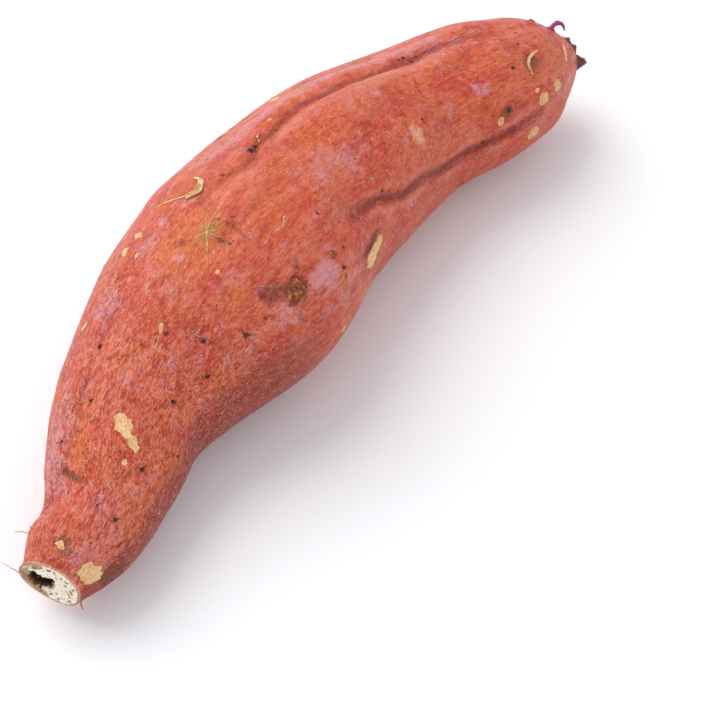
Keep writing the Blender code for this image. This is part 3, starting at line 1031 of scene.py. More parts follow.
# %% Build the cut face
PLUG_WALL = 1.6 * MM
plug_back = cut_axis * (SEAT_DEPTH - 0.2 * MM)
plug = plug + cut_axis * (cut_height * MM)[:, :, None]
plug[0] = plug_edge - cut_axis * 0.12 * MM
plug_wall = [plug_edge - plug_back, plug_edge - cut_axis * PLUG_WALL]
cut_mesh = grid_mesh("cut_face", [*plug_wall, *plug], start=plug_middle - plug_back)
for name, mask in (("hollow", hollow), ("vessel", vessels), ("cork", cork), ("stain", stain)):
    keep_values(cut_mesh, name, np.concatenate([np.zeros(2 * SIDES), mask.ravel(), [0, mask[-1].mean()]]))
flat = np.stack([across, rise, 0 * rise], axis=-1).reshape(-1, 3)
flat_lead = np.tile(np.stack([across[0], rise[0], -1 + 0 * rise[0]], axis=-1), (2, 1))
flat_ends = [[0, 0, -3], [0, 0, 0]]
keep_values(cut_mesh, "straight", np.concatenate([flat_lead, flat, flat_ends]), "FLOAT_VECTOR")

# %% [markdown]
# Dry flesh is matt and faintly fibrous; the hollow is nearly black-brown inside, and brown stain has
# crept into the pith beside it.

# %% Cut face material
PITH = palette(
    pale="fbf2e4", warm="f0dcc0", grit="d3b48a", fleck="9a7040", blot="a8793f", stain="b08050",
    stain_dark="6e4826", vessel="86602f", cork="e6c4a0", cork_dark="c48e6c", hollow_edge="6b4a2a",
    hollow="241710",
)
flesh = Look("sweet_potato_flesh", Specular_IOR_Level=0.3)
place = flesh.kept("straight", "Vector")
grit = flesh.noise(place, 1 / 0.35, 3, 0.6)
veins = flesh.noise(place, (1 / 1.3, 1 / 0.8, 1), 3, 0.6, 0.5)
blots = flesh.noise(place, (1 / 1.1, 1 / 0.7, 1), 3, 0.6, shift=(5.2, 1.4, 0.3))
flecks = flesh.step(0.24 - flesh.cells(place, (1.5, 1.3, 1)), 0.0, 0.08) * flesh.step(veins, 0.46, 0.54)


def gritty(name, share, low, high):
    """A stored mark of the cut face with a gritty edge."""
    return flesh.step(flesh.kept(name) + (grit - 0.5) * share, low, high)


stain_tint = flesh.blend(flesh.step(veins, 0.42, 0.60), PITH.stain, PITH.stain_dark)
flesh_colour = flesh.layers(
    flesh.blend(flesh.step(veins, 0.40, 0.64), PITH.pale, PITH.warm),
    (0.5 * flesh.step(grit, 0.55, 0.75), PITH.grit),
    (0.8 * flecks, PITH.fleck),
    (0.75 * flesh.step(blots, 0.58, 0.66), PITH.blot),
    (0.85 * gritty("stain", 0.8, 0.32, 0.62), stain_tint),
    (0.9 * gritty("vessel", 0.3, 0.35, 0.65), PITH.vessel),
    (0.85 * gritty("cork", 0.4, 0.35, 0.7), flesh.blend(veins, PITH.cork, PITH.cork_dark)),
    (gritty("hollow", 0.5, 0.10, 0.40), PITH.hollow_edge),
    (gritty("hollow", 0.3, 0.45, 0.75), PITH.hollow),
)
flesh_finish = flesh.finish(flesh_colour, 0.72 + 0.2 * (grit - 0.5), 0.12 * grit + 0.08 * veins, 0.8)
show(cut_mesh, "tuber", flesh_finish)

# %% [markdown]
# ## Tubes, domes and ridges
# Shoots, rootlets and dry threads are all round and taper to a tip. One helper sweeps a ring along a
# path of points with a radius at each, turning the ring as little as possible from one to the next.
# Two more lay a low dome or a thin ridge on the finished skin, for marks too crisp for a mask.


# %% Sweep a tube
def smooth_path(points, count):
    """An even curve with count points through a few given ones."""
    points = np.asarray(points, float)
    span = np.concatenate([[0], np.cumsum(np.linalg.norm(np.diff(points, axis=0), axis=1))])
    steps = np.linspace(0, span[-1], count)
    curve = np.stack([np.interp(steps, span, points[:, k]) for k in range(3)], axis=1)
    for _ in range(max(1, count // len(points))):
        curve[1:-1] = 0.25 * curve[:-2] + 0.5 * curve[1:-1] + 0.25 * curve[2:]
    return curve


def tube_rings(path, radii, sides, ribs=0.0, rib_count=5):
    """Rings round a path."""
    ahead = unit(np.gradient(path, axis=0))
    side = np.cross(ahead[0], [0.3, 0.2, 0.9])
    turn = circle(sides)
    rings = []
    for point, way, size in zip(path, ahead, radii):
        side = side - way * (side @ way)
        side = side / np.linalg.norm(side)
        up = np.cross(way, side)
        wave = size * (1 + ribs * np.cos(rib_count * turn))
        rings.append(point + (wave * np.cos(turn))[:, None] * side + (wave * np.sin(turn))[:, None] * up)
    return rings


def join_meshes(name, meshes):
    """Several closed meshes as one piece."""
    work = bmesh.new()
    for mesh in meshes:
        work.from_mesh(mesh)
    joined = bpy.data.meshes.new(name)
    work.to_mesh(joined)
    work.free()
    for mesh in meshes:
        bpy.data.meshes.remove(mesh)
    for polygon in joined.polygons:
        polygon.use_smooth = True
    return joined


# %% Find places on the finished skin
def skin_at(along, degrees, lift=0.0):
    """Points on the finished skin at distances and angles, lifted by some mm along its outward way."""
    row = np.interp(along, ring_along / MM, np.arange(len(ring_along)))
    row = np.clip(row, 0, len(ring_along) - 2.001)
    column = (np.asarray(degrees, float) - DEGREES[0, 0]) / (DEGREES[0, 1] - DEGREES[0, 0])
    top, left = np.floor(row).astype(int), np.floor(column).astype(int)
    down, over = (row - top)[..., None], (column - left)[..., None]
    left, right = left % SIDES, (left + 1) % SIDES

    def between(values):
        upper = values[top, left] * (1 - over) + values[top, right] * over
        lower = values[top + 1, left] * (1 - over) + values[top + 1, right] * over
        return upper * (1 - down) + lower * down

    return between(skin_points) + between(normals) * np.asarray(lift)[..., None] * MM


def skin_place(along, degrees, lift=0.0):
    """One point on the finished skin."""
    return skin_at(np.array([along], float), np.array([degrees], float), np.array([lift], float))[0]


# %% Lay domes and ridges on the skin
DOME_SHARES = (1.0, 1.0, 0.93, 0.82, 0.68, 0.52, 0.36, 0.20)  # of the outline, from the edge inwards
DOME_SIDES = 32
DOME_ROOT, DOME_SINK = 0.35, 0.02  # mm that its first ring, and all others, go into the skin
RIDGE_RINGS, RIDGE_SIDES = 22, 10


def lump(along, degrees, half_along, half_round, tall, seed, rough=0.5, tilt=0.0):
    """A low dome with a ragged outline that lies on the skin, its edge sunk under it."""
    turn = circle(DOME_SIDES)
    c, s = math.cos(math.radians(tilt)), math.sin(math.radians(tilt))
    outline = [Vector((math.cos(a) * 1.6, math.sin(a) * 1.6, seed)) for a in turn]
    edge = np.array([1 + 0.42 * rough * noise.noise(p) for p in outline])
    rings = []
    for share in DOME_SHARES:
        u, v = half_along * share * np.cos(turn) * edge, half_round * share * np.sin(turn) * edge
        u, v = u * c - v * s, u * s + v * c
        bumps = [Vector((a * 1.7, b * 1.7, seed + 4.0)) for a, b in zip(u, v)]
        waves = np.array([noise.fractal(p, 0.9, 2.0, 3) for p in bumps])
        rise = tall * (1 - share**2.2) ** 0.7 * (1 + 0.8 * rough * waves)
        rise = rise - (DOME_SINK if rings else DOME_ROOT)
        rings.append(skin_at(along + u, degrees + np.degrees(v / girth_at(along)), rise))
    return grid_mesh("lump", rings)


def ridge(places, thickness, taper=True):
    """A low ridge that lies half sunk in the skin and wavers a little."""
    fixed = [skin_place(along, degrees, 0.02) for along, degrees in places]
    path = smooth_path(fixed, RIDGE_RINGS)
    s = np.linspace(0, 1, RIDGE_RINGS)
    path[1:-1] += 0.07 * MM * np.stack([np.sin(s * 31), np.cos(s * 27), 0 * s], axis=1)[1:-1]
    shape = (1.05 - s) ** 0.5 if taper else np.sin(math.pi * (0.06 + 0.88 * s)) ** 0.5
    sizes = thickness * MM * shape * (1 + 0.25 * taper * np.sin(s * 37))
    return grid_mesh("ridge", tube_rings(path, sizes, RIDGE_SIDES))


# %% [markdown]
# ## Scabs
# Where an insect bit deeply the sap dried into a glossy brown lump, and dropped rootlets left dark
# crusts in their pits. Both are too crisp for masks, so they are small closed domes, with a thin
# ridge for each fine crack.

# %% Build the scabs
# Along, degrees, half lengths and height in mm, roughness.
SAP_SCABS = (
    (93.5, 146.5, 2.3, 2.8, 0.75, 0.9), (94.3, 144.6, 1.2, 1.3, 1.0, 1.0),
    (92.5, 149, 1.1, 1.2, 0.9, 1.0), (88.6, 139.8, 1.0, 1.7, 0.28, 1.0),
    (96.3, 138.6, 0.6, 0.9, 0.3, 1.0), (105.4, 148, 0.85, 1.1, 0.42, 1.0),
)
PIT_CRUSTS = (
    (106.2, 157, 0.5, 0.5, 0.3, 0.8), (52.5, 140, 0.6, 0.6, 0.35, 1.0),
    (15.5, 135, 0.42, 0.4, 0.25, 0.8), (28.5, 138, 0.55, 0.5, 0.3, 1.0),
    (38, 162, 0.5, 0.35, 0.25, 0.8), (65, 150, 0.5, 0.5, 0.3, 1.0), (79, 147, 0.6, 0.55, 0.35, 1.0),
    (71, 132, 0.42, 0.5, 0.3, 0.8), (196.5, 154.5, 0.7, 0.8, 0.1, 0.8),
    (202.3, 128, 0.4, 0.4, 0.15, 0.8), (208.8, 112, 0.4, 0.4, 0.15, 0.8),
    (117, 73.5, 0.8, 0.9, 0.4, 1.0), (57.7, 63.3, 0.7, 0.6, 0.4, 0.9), (178, 75, 0.5, 0.5, 0.25, 0.8),
)
SCAB_SEED = 3.1
CRACK_DOTS = 15
scabs = [lump(*oval, SCAB_SEED * k, rough) for k, (*oval, rough) in enumerate(SAP_SCABS)]
crusts = [lump(*oval, SCAB_SEED * k, rough) for k, (*oval, rough) in enumerate(PIT_CRUSTS)]
crusts += [ridge((start, tip), size) for start, tip, size in star_legs]
dots = np.random.default_rng(17)
for places in CRACKS:
    path = np.array(places, float)
    for step in np.linspace(0, 2, CRACK_DOTS):
        along, degrees = (np.interp(step, (0, 1, 2), path[:, k]) for k in (0, 1))
        size = dots.uniform(0.16, 0.34)
        spot = (along + dots.uniform(-0.2, 0.2), degrees + dots.uniform(-0.5, 0.5))
        scabs.append(lump(*spot, size, size * dots.uniform(0.8, 1.8), 0.06, dots.uniform(0, 50), 1.0))


def crusted(name, gloss, dull, bright, pale, black):
    """Dried sap: two browns in fine noise, with highlights painted pale on its tops and shade painted dark in its
    folds.
    """
    look = Look(name, Specular_IOR_Level=0.3, Coat_Roughness=0.25)
    at = look.node("TexCoord", {}, 3)
    wave = look.noise(at, 900, 4, 0.65)
    folds = look.noise(at, 420, 3, 0.6)
    tint = look.layers(
        look.blend(look.step(wave, 0.40, 0.62), paint(dull), paint(bright)),
        # The pale tops are painted highlights, and the darkest brown in the folds is painted shade.
        (0.8 * look.step(folds, 0.54, 0.68), paint(pale)),
        (0.6 * look.step(1 - folds, 0.60, 0.72), paint(black)),
    )
    relief = 0.3 * wave + 0.2 * folds
    return look.finish(tint, 0.60 - gloss * 0.3 + 0.2 * wave, relief, 0.8, gloss * folds)


scab_finish = crusted("dry_sap", 0.4, "6e2c12", "a2501f", "d0904f", "34160c")
crust_finish = crusted("pit_crust", 0.1, "2e1c1c", "4a2a26", "6e4436", "1c1214")
show(join_meshes("dry_scabs", scabs), "tuber", scab_finish)
show(join_meshes("pit_crusts", crusts), "tuber", crust_finish)

# %% [markdown]
# ## The curled shoot
# One new shoot has pushed out at the crown and arched over: thick and magenta at the foot and the
# bend, thinner and darker at the tip, with a few tiny folded leaves where it ends. It follows the
# middle line of its solid, so that it stays in the room kept for it.


# %% Trace and build the curled shoot
def centre_line(node, bins):
    """The middle line of a thin, bowed solid, found in slices of turn about a hub inside its bow."""
    solid = joined_copy(node)
    points = np.array([vertex.co for vertex in solid.verts])
    solid.free()
    middle = points.mean(axis=0)
    flat = (points - middle) @ np.linalg.svd(points - middle)[2][:2].T
    ends = np.array([flat[:, 0].min(), flat[:, 0].max()])
    arched = flat[np.abs(flat[:, 0] - ends.mean()) < 0.3 * np.ptp(ends), 1].mean() > 0
    hub = np.array([ends.mean(), flat[:, 1].min() if arched else flat[:, 1].max()])
    turn = np.arctan2(*(flat - hub).T[::-1])
    turn = np.where(arched & (turn < -math.pi / 2), turn + 2 * math.pi, turn)
    edges = np.linspace(turn.min(), turn.max() + 1e-6, bins + 1)
    slices = [points[(turn >= a) & (turn < b)] for a, b in zip(edges[:-1], edges[1:])]
    return np.array([part.mean(axis=0) for part in slices if len(part)])


SHOOT_RINGS = 70
arch = centre_line("curled_shoot", 9)
foot_gap = [np.linalg.norm(skin_points.reshape(-1, 3) - end, axis=1).min() for end in (arch[0], arch[-1])]
if foot_gap[0] > foot_gap[1]:
    arch = arch[::-1]
shoot_path = smooth_path(arch, 64)
foot_root = shoot_path[0] - unit(shoot_path[3] - shoot_path[0]) * 0.5 * MM
shoot_path = smooth_path([foot_root, *shoot_path], SHOOT_RINGS)
t = np.linspace(0, 1, SHOOT_RINGS)
bend_swell = 0.16 * np.exp(-(((t - 0.45) / 0.16) ** 2))
foot_swell = 0.75 * np.exp(-((t / 0.06) ** 2))
shoot_size = (0.72 - 0.36 * t + bend_swell + foot_swell) * MM
shoot_size *= 1 - 0.75 * smooth_step(0.93, 1.0, t)
shoot_size *= 1 + 0.05 * np.sin(t * 60)
shoot_parts = [grid_mesh("stem", tube_rings(shoot_path, shoot_size, 24, 0.06, 7))]

# %% Fold the shoot's tiny leaves
LEAF_STEPS, LEAF_SIDES = 14, 14


def leaf(foot, way, face, length, width, curl):
    """A small folded leaf scale: a closed, tapering, cupped blade."""
    way, face = unit(np.asarray(way)), np.asarray(face)
    face = unit(face - way * (face @ way))
    side = np.cross(way, face)
    turn = circle(LEAF_SIDES)
    rings = []
    for s in np.linspace(0, 1, LEAF_STEPS):
        point = foot + way * length * s + face * curl * length * s * s
        half = width * (math.sin(math.pi * min(0.18 + 0.82 * s, 1.0)) ** 0.8) * (1 - 0.25 * s) + 0.02 * MM
        cup = 0.45 * half * np.cos(turn) ** 2
        thick = 0.11 * MM * (1 - 0.6 * s)
        rings.append(point + (half * np.cos(turn))[:, None] * side + (thick * np.sin(turn) - cup)[:, None] * face)
    return grid_mesh("leaf", rings)


tip_way = unit(shoot_path[-1] - shoot_path[-8])
for turn, length in ((0.4, 1.1), (2.4, 0.9), (4.4, 0.7)):
    face = unit(np.cross(tip_way, [math.cos(turn), math.sin(turn), 0.3]))
    shoot_parts.append(leaf(shoot_path[-4], tip_way + 0.35 * face, face, length * MM, 0.28 * MM, 0.3))
foot_way = unit(shoot_path[4] - shoot_path[0])
for turn in (0.3, 2.2, 4.1, 5.4):
    face = unit(np.cross(foot_way, [math.cos(turn), math.sin(turn), 0.4]))
    foot = shoot_path[2] + face * 0.5 * MM
    shoot_parts.append(leaf(foot, foot_way + 0.5 * face, face, 1.0 * MM, 0.42 * MM, -0.2))

# %% [markdown]
# Young sweet-potato tissue is full of purple pigment. The stem is magenta with fine lengthwise
# streaks; older scales dry to maroon and brown in patches.


# %% Shoot and bud materials
def young_tissue(name, dryness, bright, dull, dried):
    """Purple tissue that dries to brown in patches."""
    look = Look(name, Specular_IOR_Level=0.5, Coat_Roughness=0.3)
    at = look.node("TexCoord", {}, 3)
    streak = look.noise(at, (900, 900, 2600), 3, 0.6, 0.3)
    blotch = look.noise(at, 620, 3, 0.6)
    dry_share = look.step(blotch, 0.62 - 0.2 * dryness, 0.80 - 0.2 * dryness)
    tint = look.blend(look.step(streak, 0.38, 0.64), paint(bright), paint(dull))
    tint = look.blend(dry_share, tint, paint(dried))
    relief = 0.25 * streak + 0.1 * blotch
    return look.finish(tint, 0.40 + 0.3 * blotch, relief, 0.6, 0.15 * (1 - blotch))


shoot_finish = young_tissue("sweet_potato_shoot", 0.1, "a8397a", "7a2350", "5a2330")
bud_finish = young_tissue("sweet_potato_bud", 1.0, "7a3038", "4c2226", "6e4632")
show(join_meshes("curled_stem", shoot_parts), "curled_shoot", shoot_finish)

# %% [markdown]
# ## Bud scales
# Beside the shoot sit three dormant buds. Each is a short cone wrapped in pointed scales that overlap
# like tiles; the outermost have dried and lie round it. A cone could simply be pushed into the skin,
# but its foot is looked up on the skin instead, so that it can't float or sink.

# %% Build the buds
BUD_RINGS, BUD_SIDES = 22, 24
BUD_SINK = 0.45 * MM
BUD_FLATNESS = 0.7
TILE_TURN = math.radians(137.5)  # how far round the next scale sits, as on a cone
skin_cloud = skin_points.reshape(-1, 3)


def on_skin(point):
    """The skin's point nearest to a point."""
    return skin_cloud[np.argmin(np.linalg.norm(skin_cloud - point, axis=1))]


def solid_middle(node):
    """The middle of a solid's box."""
    low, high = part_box(node)
    return np.array((low + high) / 2)


bud_row = unit(solid_middle("bud_spike_long") - solid_middle("bud_spike_upper"))


def make_bud(node, name, broad, reach, scales, skirt, seed):
    """A broad cone from the skin towards the solid's tip, a share of the way there, with scales pressed to it and
    dry ones round it.
    """
    points = np.array([vertex.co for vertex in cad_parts[node].data.vertices])
    foot = on_skin(points.mean(axis=0))
    tip = points[np.argmax(np.linalg.norm(points - foot, axis=1))]
    way = unit(tip - foot)
    foot = foot - way * BUD_SINK
    length = reach * float(np.linalg.norm(tip - foot))
    thick = broad * MM
    base = unit(bud_row - way * (bud_row @ way))
    other = np.cross(way, base)
    turn = circle(BUD_SIDES)
    rings = []
    for share in np.linspace(0, 1, BUD_RINGS):
        size = thick * (0.12 + 0.88 * (1 - share) ** 1.1) * (1 + 0.07 * np.cos(5 * turn + 6 * share))
        size = size * (1 - 0.9 * smooth_step(0.9, 1.0, share))
        flat = (size * np.cos(turn))[:, None] * base
        flat = flat + (BUD_FLATNESS * size * np.sin(turn))[:, None] * other
        rings.append(foot + way * length * share + flat)
    parts = [grid_mesh("core", rings)]
    draw = np.random.default_rng(seed)
    for k in range(scales):
        around = k * TILE_TURN + draw.uniform(-0.2, 0.2)
        face = base * math.cos(around) + BUD_FLATNESS * other * math.sin(around)
        start = foot + way * length * 0.4 * k / scales + face * thick * 0.9 * (1 - 0.4 * k / scales)
        lie = way * length - face * thick * draw.uniform(0.55, 0.85)
        size = length * draw.uniform(0.45, 0.68)
        parts.append(leaf(start, lie, face, size, thick * draw.uniform(0.4, 0.55), draw.uniform(-0.05, 0.12)))
    for _ in range(skirt):
        aside = bud_row * draw.uniform(-2.6, 2.6) + other * draw.uniform(-0.6, 0.6)
        start = on_skin(foot + aside * MM) - way * 0.12 * MM
        lie = bud_row * draw.choice((-1, 1)) + way * draw.uniform(0.12, 0.5) + other * draw.uniform(-0.5, 0.5)
        size = draw.uniform(0.7, 1.2) * MM
        parts.append(leaf(start, lie, way, size, draw.uniform(0.38, 0.6) * MM, draw.uniform(-0.1, 0.2)))
    show(join_meshes(name, parts), node, bud_finish)


# How broad in mm, the share of the solid's length, scales, skirt and seed.
make_bud("bud_spike_upper", "bud_scales_upper", 2.0, 0.58, 4, 9, 31)
make_bud("bud_spike_middle", "bud_scales_middle", 2.2, 0.60, 4, 10, 32)
make_bud("bud_spike_long", "bud_scales_long", 2.5, 0.92, 6, 8, 33)

# %% [markdown]
# ## Rootlets, healed cork and a peeled curl
# A few dry rootlets are long enough to see one by one: some lie on the skin, some stand off it at
# the neck. Cuts and swollen pores heal as pale, matt cork. Beside the furrow a strip of outer cork
# has peeled and curled over. All are dry, so one helper gives them their finishes.


# %% Finishes of dry things
def dry_finish(name, rate, tints, step, rough, bump, specular=0.3, detail=3, blotch=None):
    """Two tints mixed by one fine noise, which also roughens the surface, and perhaps blotches."""
    look = Look(name, Specular_IOR_Level=specular)
    at = look.node("TexCoord", {}, 3)
    wave = look.noise(at, rate, detail, 0.6)
    tint = look.blend(look.step(wave, *step), *(paint(code) for code in tints))
    if blotch:
        tint = look.blend(look.step(look.noise(at, 140), 0.5, 0.62), tint, paint(blotch))
    relief, strength = (bump[0] * wave, bump[1]) if bump else (None, 0)
    return look.finish(tint, rough[0] + rough[1] * wave, relief, strength)


thread_finish = dry_finish(
    "dry_rootlet", 500, ("8a4a2c", "b98a5c"), (0.40, 0.62), (0.75, 0.1), (0.1, 0.5), blotch="6a3024"
)
cork_finish = dry_finish(
    "pale_cork", 800, ("e2b080", "c48e5c"), (0.42, 0.62), (0.75, 0.1), (0.15, 0.6)
)
peel_finish = dry_finish(
    "dry_peel", 420, ("e6cd9a", "b98c52"), (0.42, 0.66), (0.7, 0.1), (0.15, 0.5), 0.35, 4
)
soil_finish = dry_finish(
    "soil_crumb", 700, ("3b2720", "7a5638"), (0.38, 0.64), (0.9, 0.05), None, 0.2
)

# %% Rootlets placed one by one
# Each: points of (along, degrees, lift in mm), thickness at the foot in mm.
ROOTLETS = (
    (((70.5, 122, 0.1), (71.5, 130, 0.45), (72.8, 139, 0.5), (74, 148.5, 0.1)), 0.17),
    (((72.8, 54, 0.1), (74.6, 58, 0.6), (75.4, 63, 0.7), (75, 69, 0.1)), 0.15),
    (((42.6, 67, 0.1), (43.6, 60, 0.7), (43, 52, 0.8), (41.4, 43, 0.5)), 0.13),
    (((37.5, 82, 0.0), (38.6, 88, 0.5), (38.9, 98, 0.15)), 0.12),
    (((7.8, 25, -0.2), (7.4, 25, 1.6), (6.6, 28, 3.2), (5.6, 34, 4.6)), 0.12),
    (((9.0, 32, -0.2), (8.8, 34, 1.3), (9.6, 38, 2.4)), 0.10),
    (((0.6, -12, -0.2), (0.1, -6, 1.6), (-1.0, 4, 3.1), (-2.0, 14, 4.8)), 0.13),
    (((0.8, -20, -0.2), (0.4, -24, 1.2), (0.2, -32, 2.2)), 0.12),
    (((0.6, -148, -0.2), (0.0, -149, 1.0), (-0.4, -150, 2.0)), 0.34),
    (((119.6, 74, -0.3), (120.6, 70, 0.4), (123, 74, 0.9), (125, 79, 0.5)), 0.20),
    (((118.6, 79, -0.3), (119.6, 82, 0.7), (122.5, 81, 0.6)), 0.13),
    (((96.4, 74, 0.1), (95.2, 80, 0.8), (94.4, 84, 0.4)), 0.14),
    (((106.4, 158, -0.2), (105.4, 163, 0.5), (103.6, 168, 0.2)), 0.16),
    (((79, 147, -0.1), (79.3, 154, 0.4), (79.5, 162, 0.1)), 0.15),
    (((38.1, 142, -0.1), (37.2, 147, 0.5), (36.6, 152, 0.2)), 0.10),
    (((168, 172, -0.1), (169, 168, 0.6), (170.5, 164, 0.3)), 0.10),
    (((60, -40, -0.1), (62, -46, 0.7), (66, -50, 0.4)), 0.13),
    (((150, 10, -0.1), (153, 14, 0.8), (157, 12, 0.3)), 0.12),
)
ROOTLET_RINGS, ROOTLET_SIDES = 26, 8


def rootlet(points, thickness):
    """A dry root thread that tapers and wavers; a place before the cut stands in front of it."""
    fixed = [
        skin_place(max(along, 0.0), degrees, lift) + cut_axis * max(-along, 0.0) * MM
        for along, degrees, lift in points
    ]
    path = smooth_path(fixed, ROOTLET_RINGS)
    s = np.linspace(0, 1, ROOTLET_RINGS)
    path[1:-1] += 0.05 * MM * np.stack([np.sin(s * 23), np.cos(s * 17), np.sin(s * 29 + 1)], axis=1)[1:-1]
    path[:, 2] = np.maximum(path[:, 2], 2 * thickness * MM)
    sizes = thickness * MM * (1 - 0.72 * s) * (1 + 0.12 * np.sin(s * 40))
    return grid_mesh("thread", tube_rings(path, sizes, ROOTLET_SIDES))


rootlet_mesh = join_meshes("rootlets", [rootlet(*row) for row in ROOTLETS])
show(rootlet_mesh, "tuber", thread_finish)

# %% Healed cork: ridges, slits and buttons
# Each ridge and slit: places of (along, degrees), then its thickness in mm. The first six are the
# star's rays. Each button: along, degrees, half lengths in mm, tilt.
RIDGES = (
    (STAR, (92.5, 90), (95.5, 89.5), (98.2, 87), 0.19), (STAR, (91.8, 88.5), (94, 84.5), 0.15),
    (STAR, (87.5, 98), (85.5, 102), (84.2, 105), 0.20), (STAR, (91.5, 96), (92.3, 98.5), 0.13),
    (STAR, (88.2, 89.5), (87.2, 88), 0.18), (STAR, (90.2, 98), (91.0, 101), 0.16),
    ((102.6, 117), (101.2, 119), (100.4, 120.5), 0.20), ((102.8, 119), (101.4, 119.2), 0.14),
    ((126.5, 100), (125.4, 102.5), 0.18), ((137, 96), (139, 99), 0.14), ((141, 95), (142.5, 97), 0.12),
    ((176.4, 139), (177.6, 141.5), 0.18), ((148, 143.5), (146.6, 146.5), 0.17),
    ((138, 142), (139, 148), 0.12), ((134, 98), (133, 101), 0.12), ((131, 106), (130.2, 109), 0.12),
    ((60, 147), (61.5, 150), 0.10), ((65.6, 106), (64, 108), (61.8, 108), 0.20),
    ((29.6, 146), (31.4, 149), (33, 150), 0.13), ((48.6, 60), (47.8, 63.5), 0.16),
    ((55, 66), (52.5, 68), (50, 70), 0.12), ((112, 91), (110.4, 92.5), 0.15),
)
SLITS = (
    ((212.8, 125), (209.4, 126.4), (207.4, 130), (206.9, 135), (207.2, 140), 0.50),
    ((228, 132), (226, 141), (224.6, 147), (223.4, 151), 0.56),
)
BUTTONS = (
    (214.4, 160, 1.9, 1.5, 50), (208.3, 162, 2.2, 1.8, 40), (204.4, -173, 2.1, 2.2, 0),
    (193.6, 160.5, 1.0, 1.4, 10), (206.6, 152, 0.9, 0.6, 0), (84.5, 111.5, 0.55, 0.6, 0),
    (67.4, 104.5, 1.4, 0.6, -30), (130.4, 66.7, 0.6, 0.5, 0), (5.8, 89, 0.5, 0.8, 20),
    (79, 60, 0.8, 0.6, 0),
)
SMALL_TICKS, SMALL_BUTTONS = 34, 16

healed = [ridge(places, size) for *places, size in RIDGES]
healed += [ridge(places, size, False) for *places, size in SLITS]
healed += [lump(*oval, 0.14, 5.3 * k, 0.35, tilt) for k, (*oval, tilt) in enumerate(BUTTONS)]
ticks = np.random.default_rng(41)
for _ in range(SMALL_TICKS):
    start = (ticks.uniform(60, 215), ticks.uniform(0, 360))
    end = (start[0] + ticks.uniform(-1.6, 1.6), start[1] + ticks.uniform(-3, 3))
    healed.append(ridge((start, end), ticks.uniform(0.07, 0.13)))
for k in range(SMALL_BUTTONS):
    size = ticks.uniform(0.4, 1.3)
    spot = (ticks.uniform(20, 214), ticks.uniform(190, 400))
    healed.append(lump(*spot, size, size * 1.3, 0.1, 7.7 * k, 0.5))
show(join_meshes("healed_cork", healed), "tuber", cork_finish)

# %% The peeled curl
STRIP_RINGS, STRIP_SIDES = 40, 16


def strip(points, width, thickness, roll):
    """A thin flat strip, in mm, that rolls over across its width."""
    path = smooth_path([skin_place(*point) for point in points], STRIP_RINGS)
    s = np.linspace(0, 1, STRIP_RINGS)
    wide = width * MM * np.sin(math.pi * (0.08 + 0.84 * s)) ** 0.5
    nearest_ring = np.argmin(np.abs(ring_along / MM - points[0][0]))
    out_way = unit(normals[nearest_ring].mean(axis=0) + [0, 0, 1])
    turn = circle(STRIP_SIDES)
    rings = []
    for point, way, half, share in zip(path, unit(np.gradient(path, axis=0)), wide, s):
        side = unit(np.cross(way, out_way))
        up = np.cross(side, way)
        curl = roll * MM * (np.cos(turn) * 0.5 + 0.5) ** 2 * (0.4 + share)
        rise = thickness * MM * np.sin(turn) + curl
        rings.append(point + (half * np.cos(turn))[:, None] * side + rise[:, None] * up)
    return grid_mesh("strip", rings)


curl_strips = [
    strip(((101.8, 62.5, 0.15), (100.8, 69, 0.5), (98, 72.5, 0.7), (95.2, 68, 0.4)), 0.74, 0.10, 0.35),
    strip(((96.4, 69, 0.2), (95.0, 64, 0.3), (93.6, 57, 0.2), (92, 49, 0.05)), 0.16, 0.06, 0.1),
    strip(((121, 73, 0.1), (122, 70, 0.5), (124, 69, 0.25)), 0.18, 0.06, 0.2),
]
show(join_meshes("peeled_curl", curl_strips), "tuber", peel_finish)

# %% [markdown]
# ## Fine things strewn by Geometry Nodes
# Hundreds of hair-fine rootlets, soil crumbs and loose cork flakes cling to the skin. Each kind is
# one small shape strewn by a node tree, thickest where a stored share says so: rootlets in the neck
# and the furrows, soil in pits and furrows, flakes on scraped places.

# %% A tree that strews a shape over the skin
TREE_INPUTS = {
    "Skin": "Geometry", "Shape": "Object", "Density": "Float", "Spacing": "Float",
    "Smallest": "Float", "Largest": "Float", "Lean": "Float", "Seed": "Int",
}


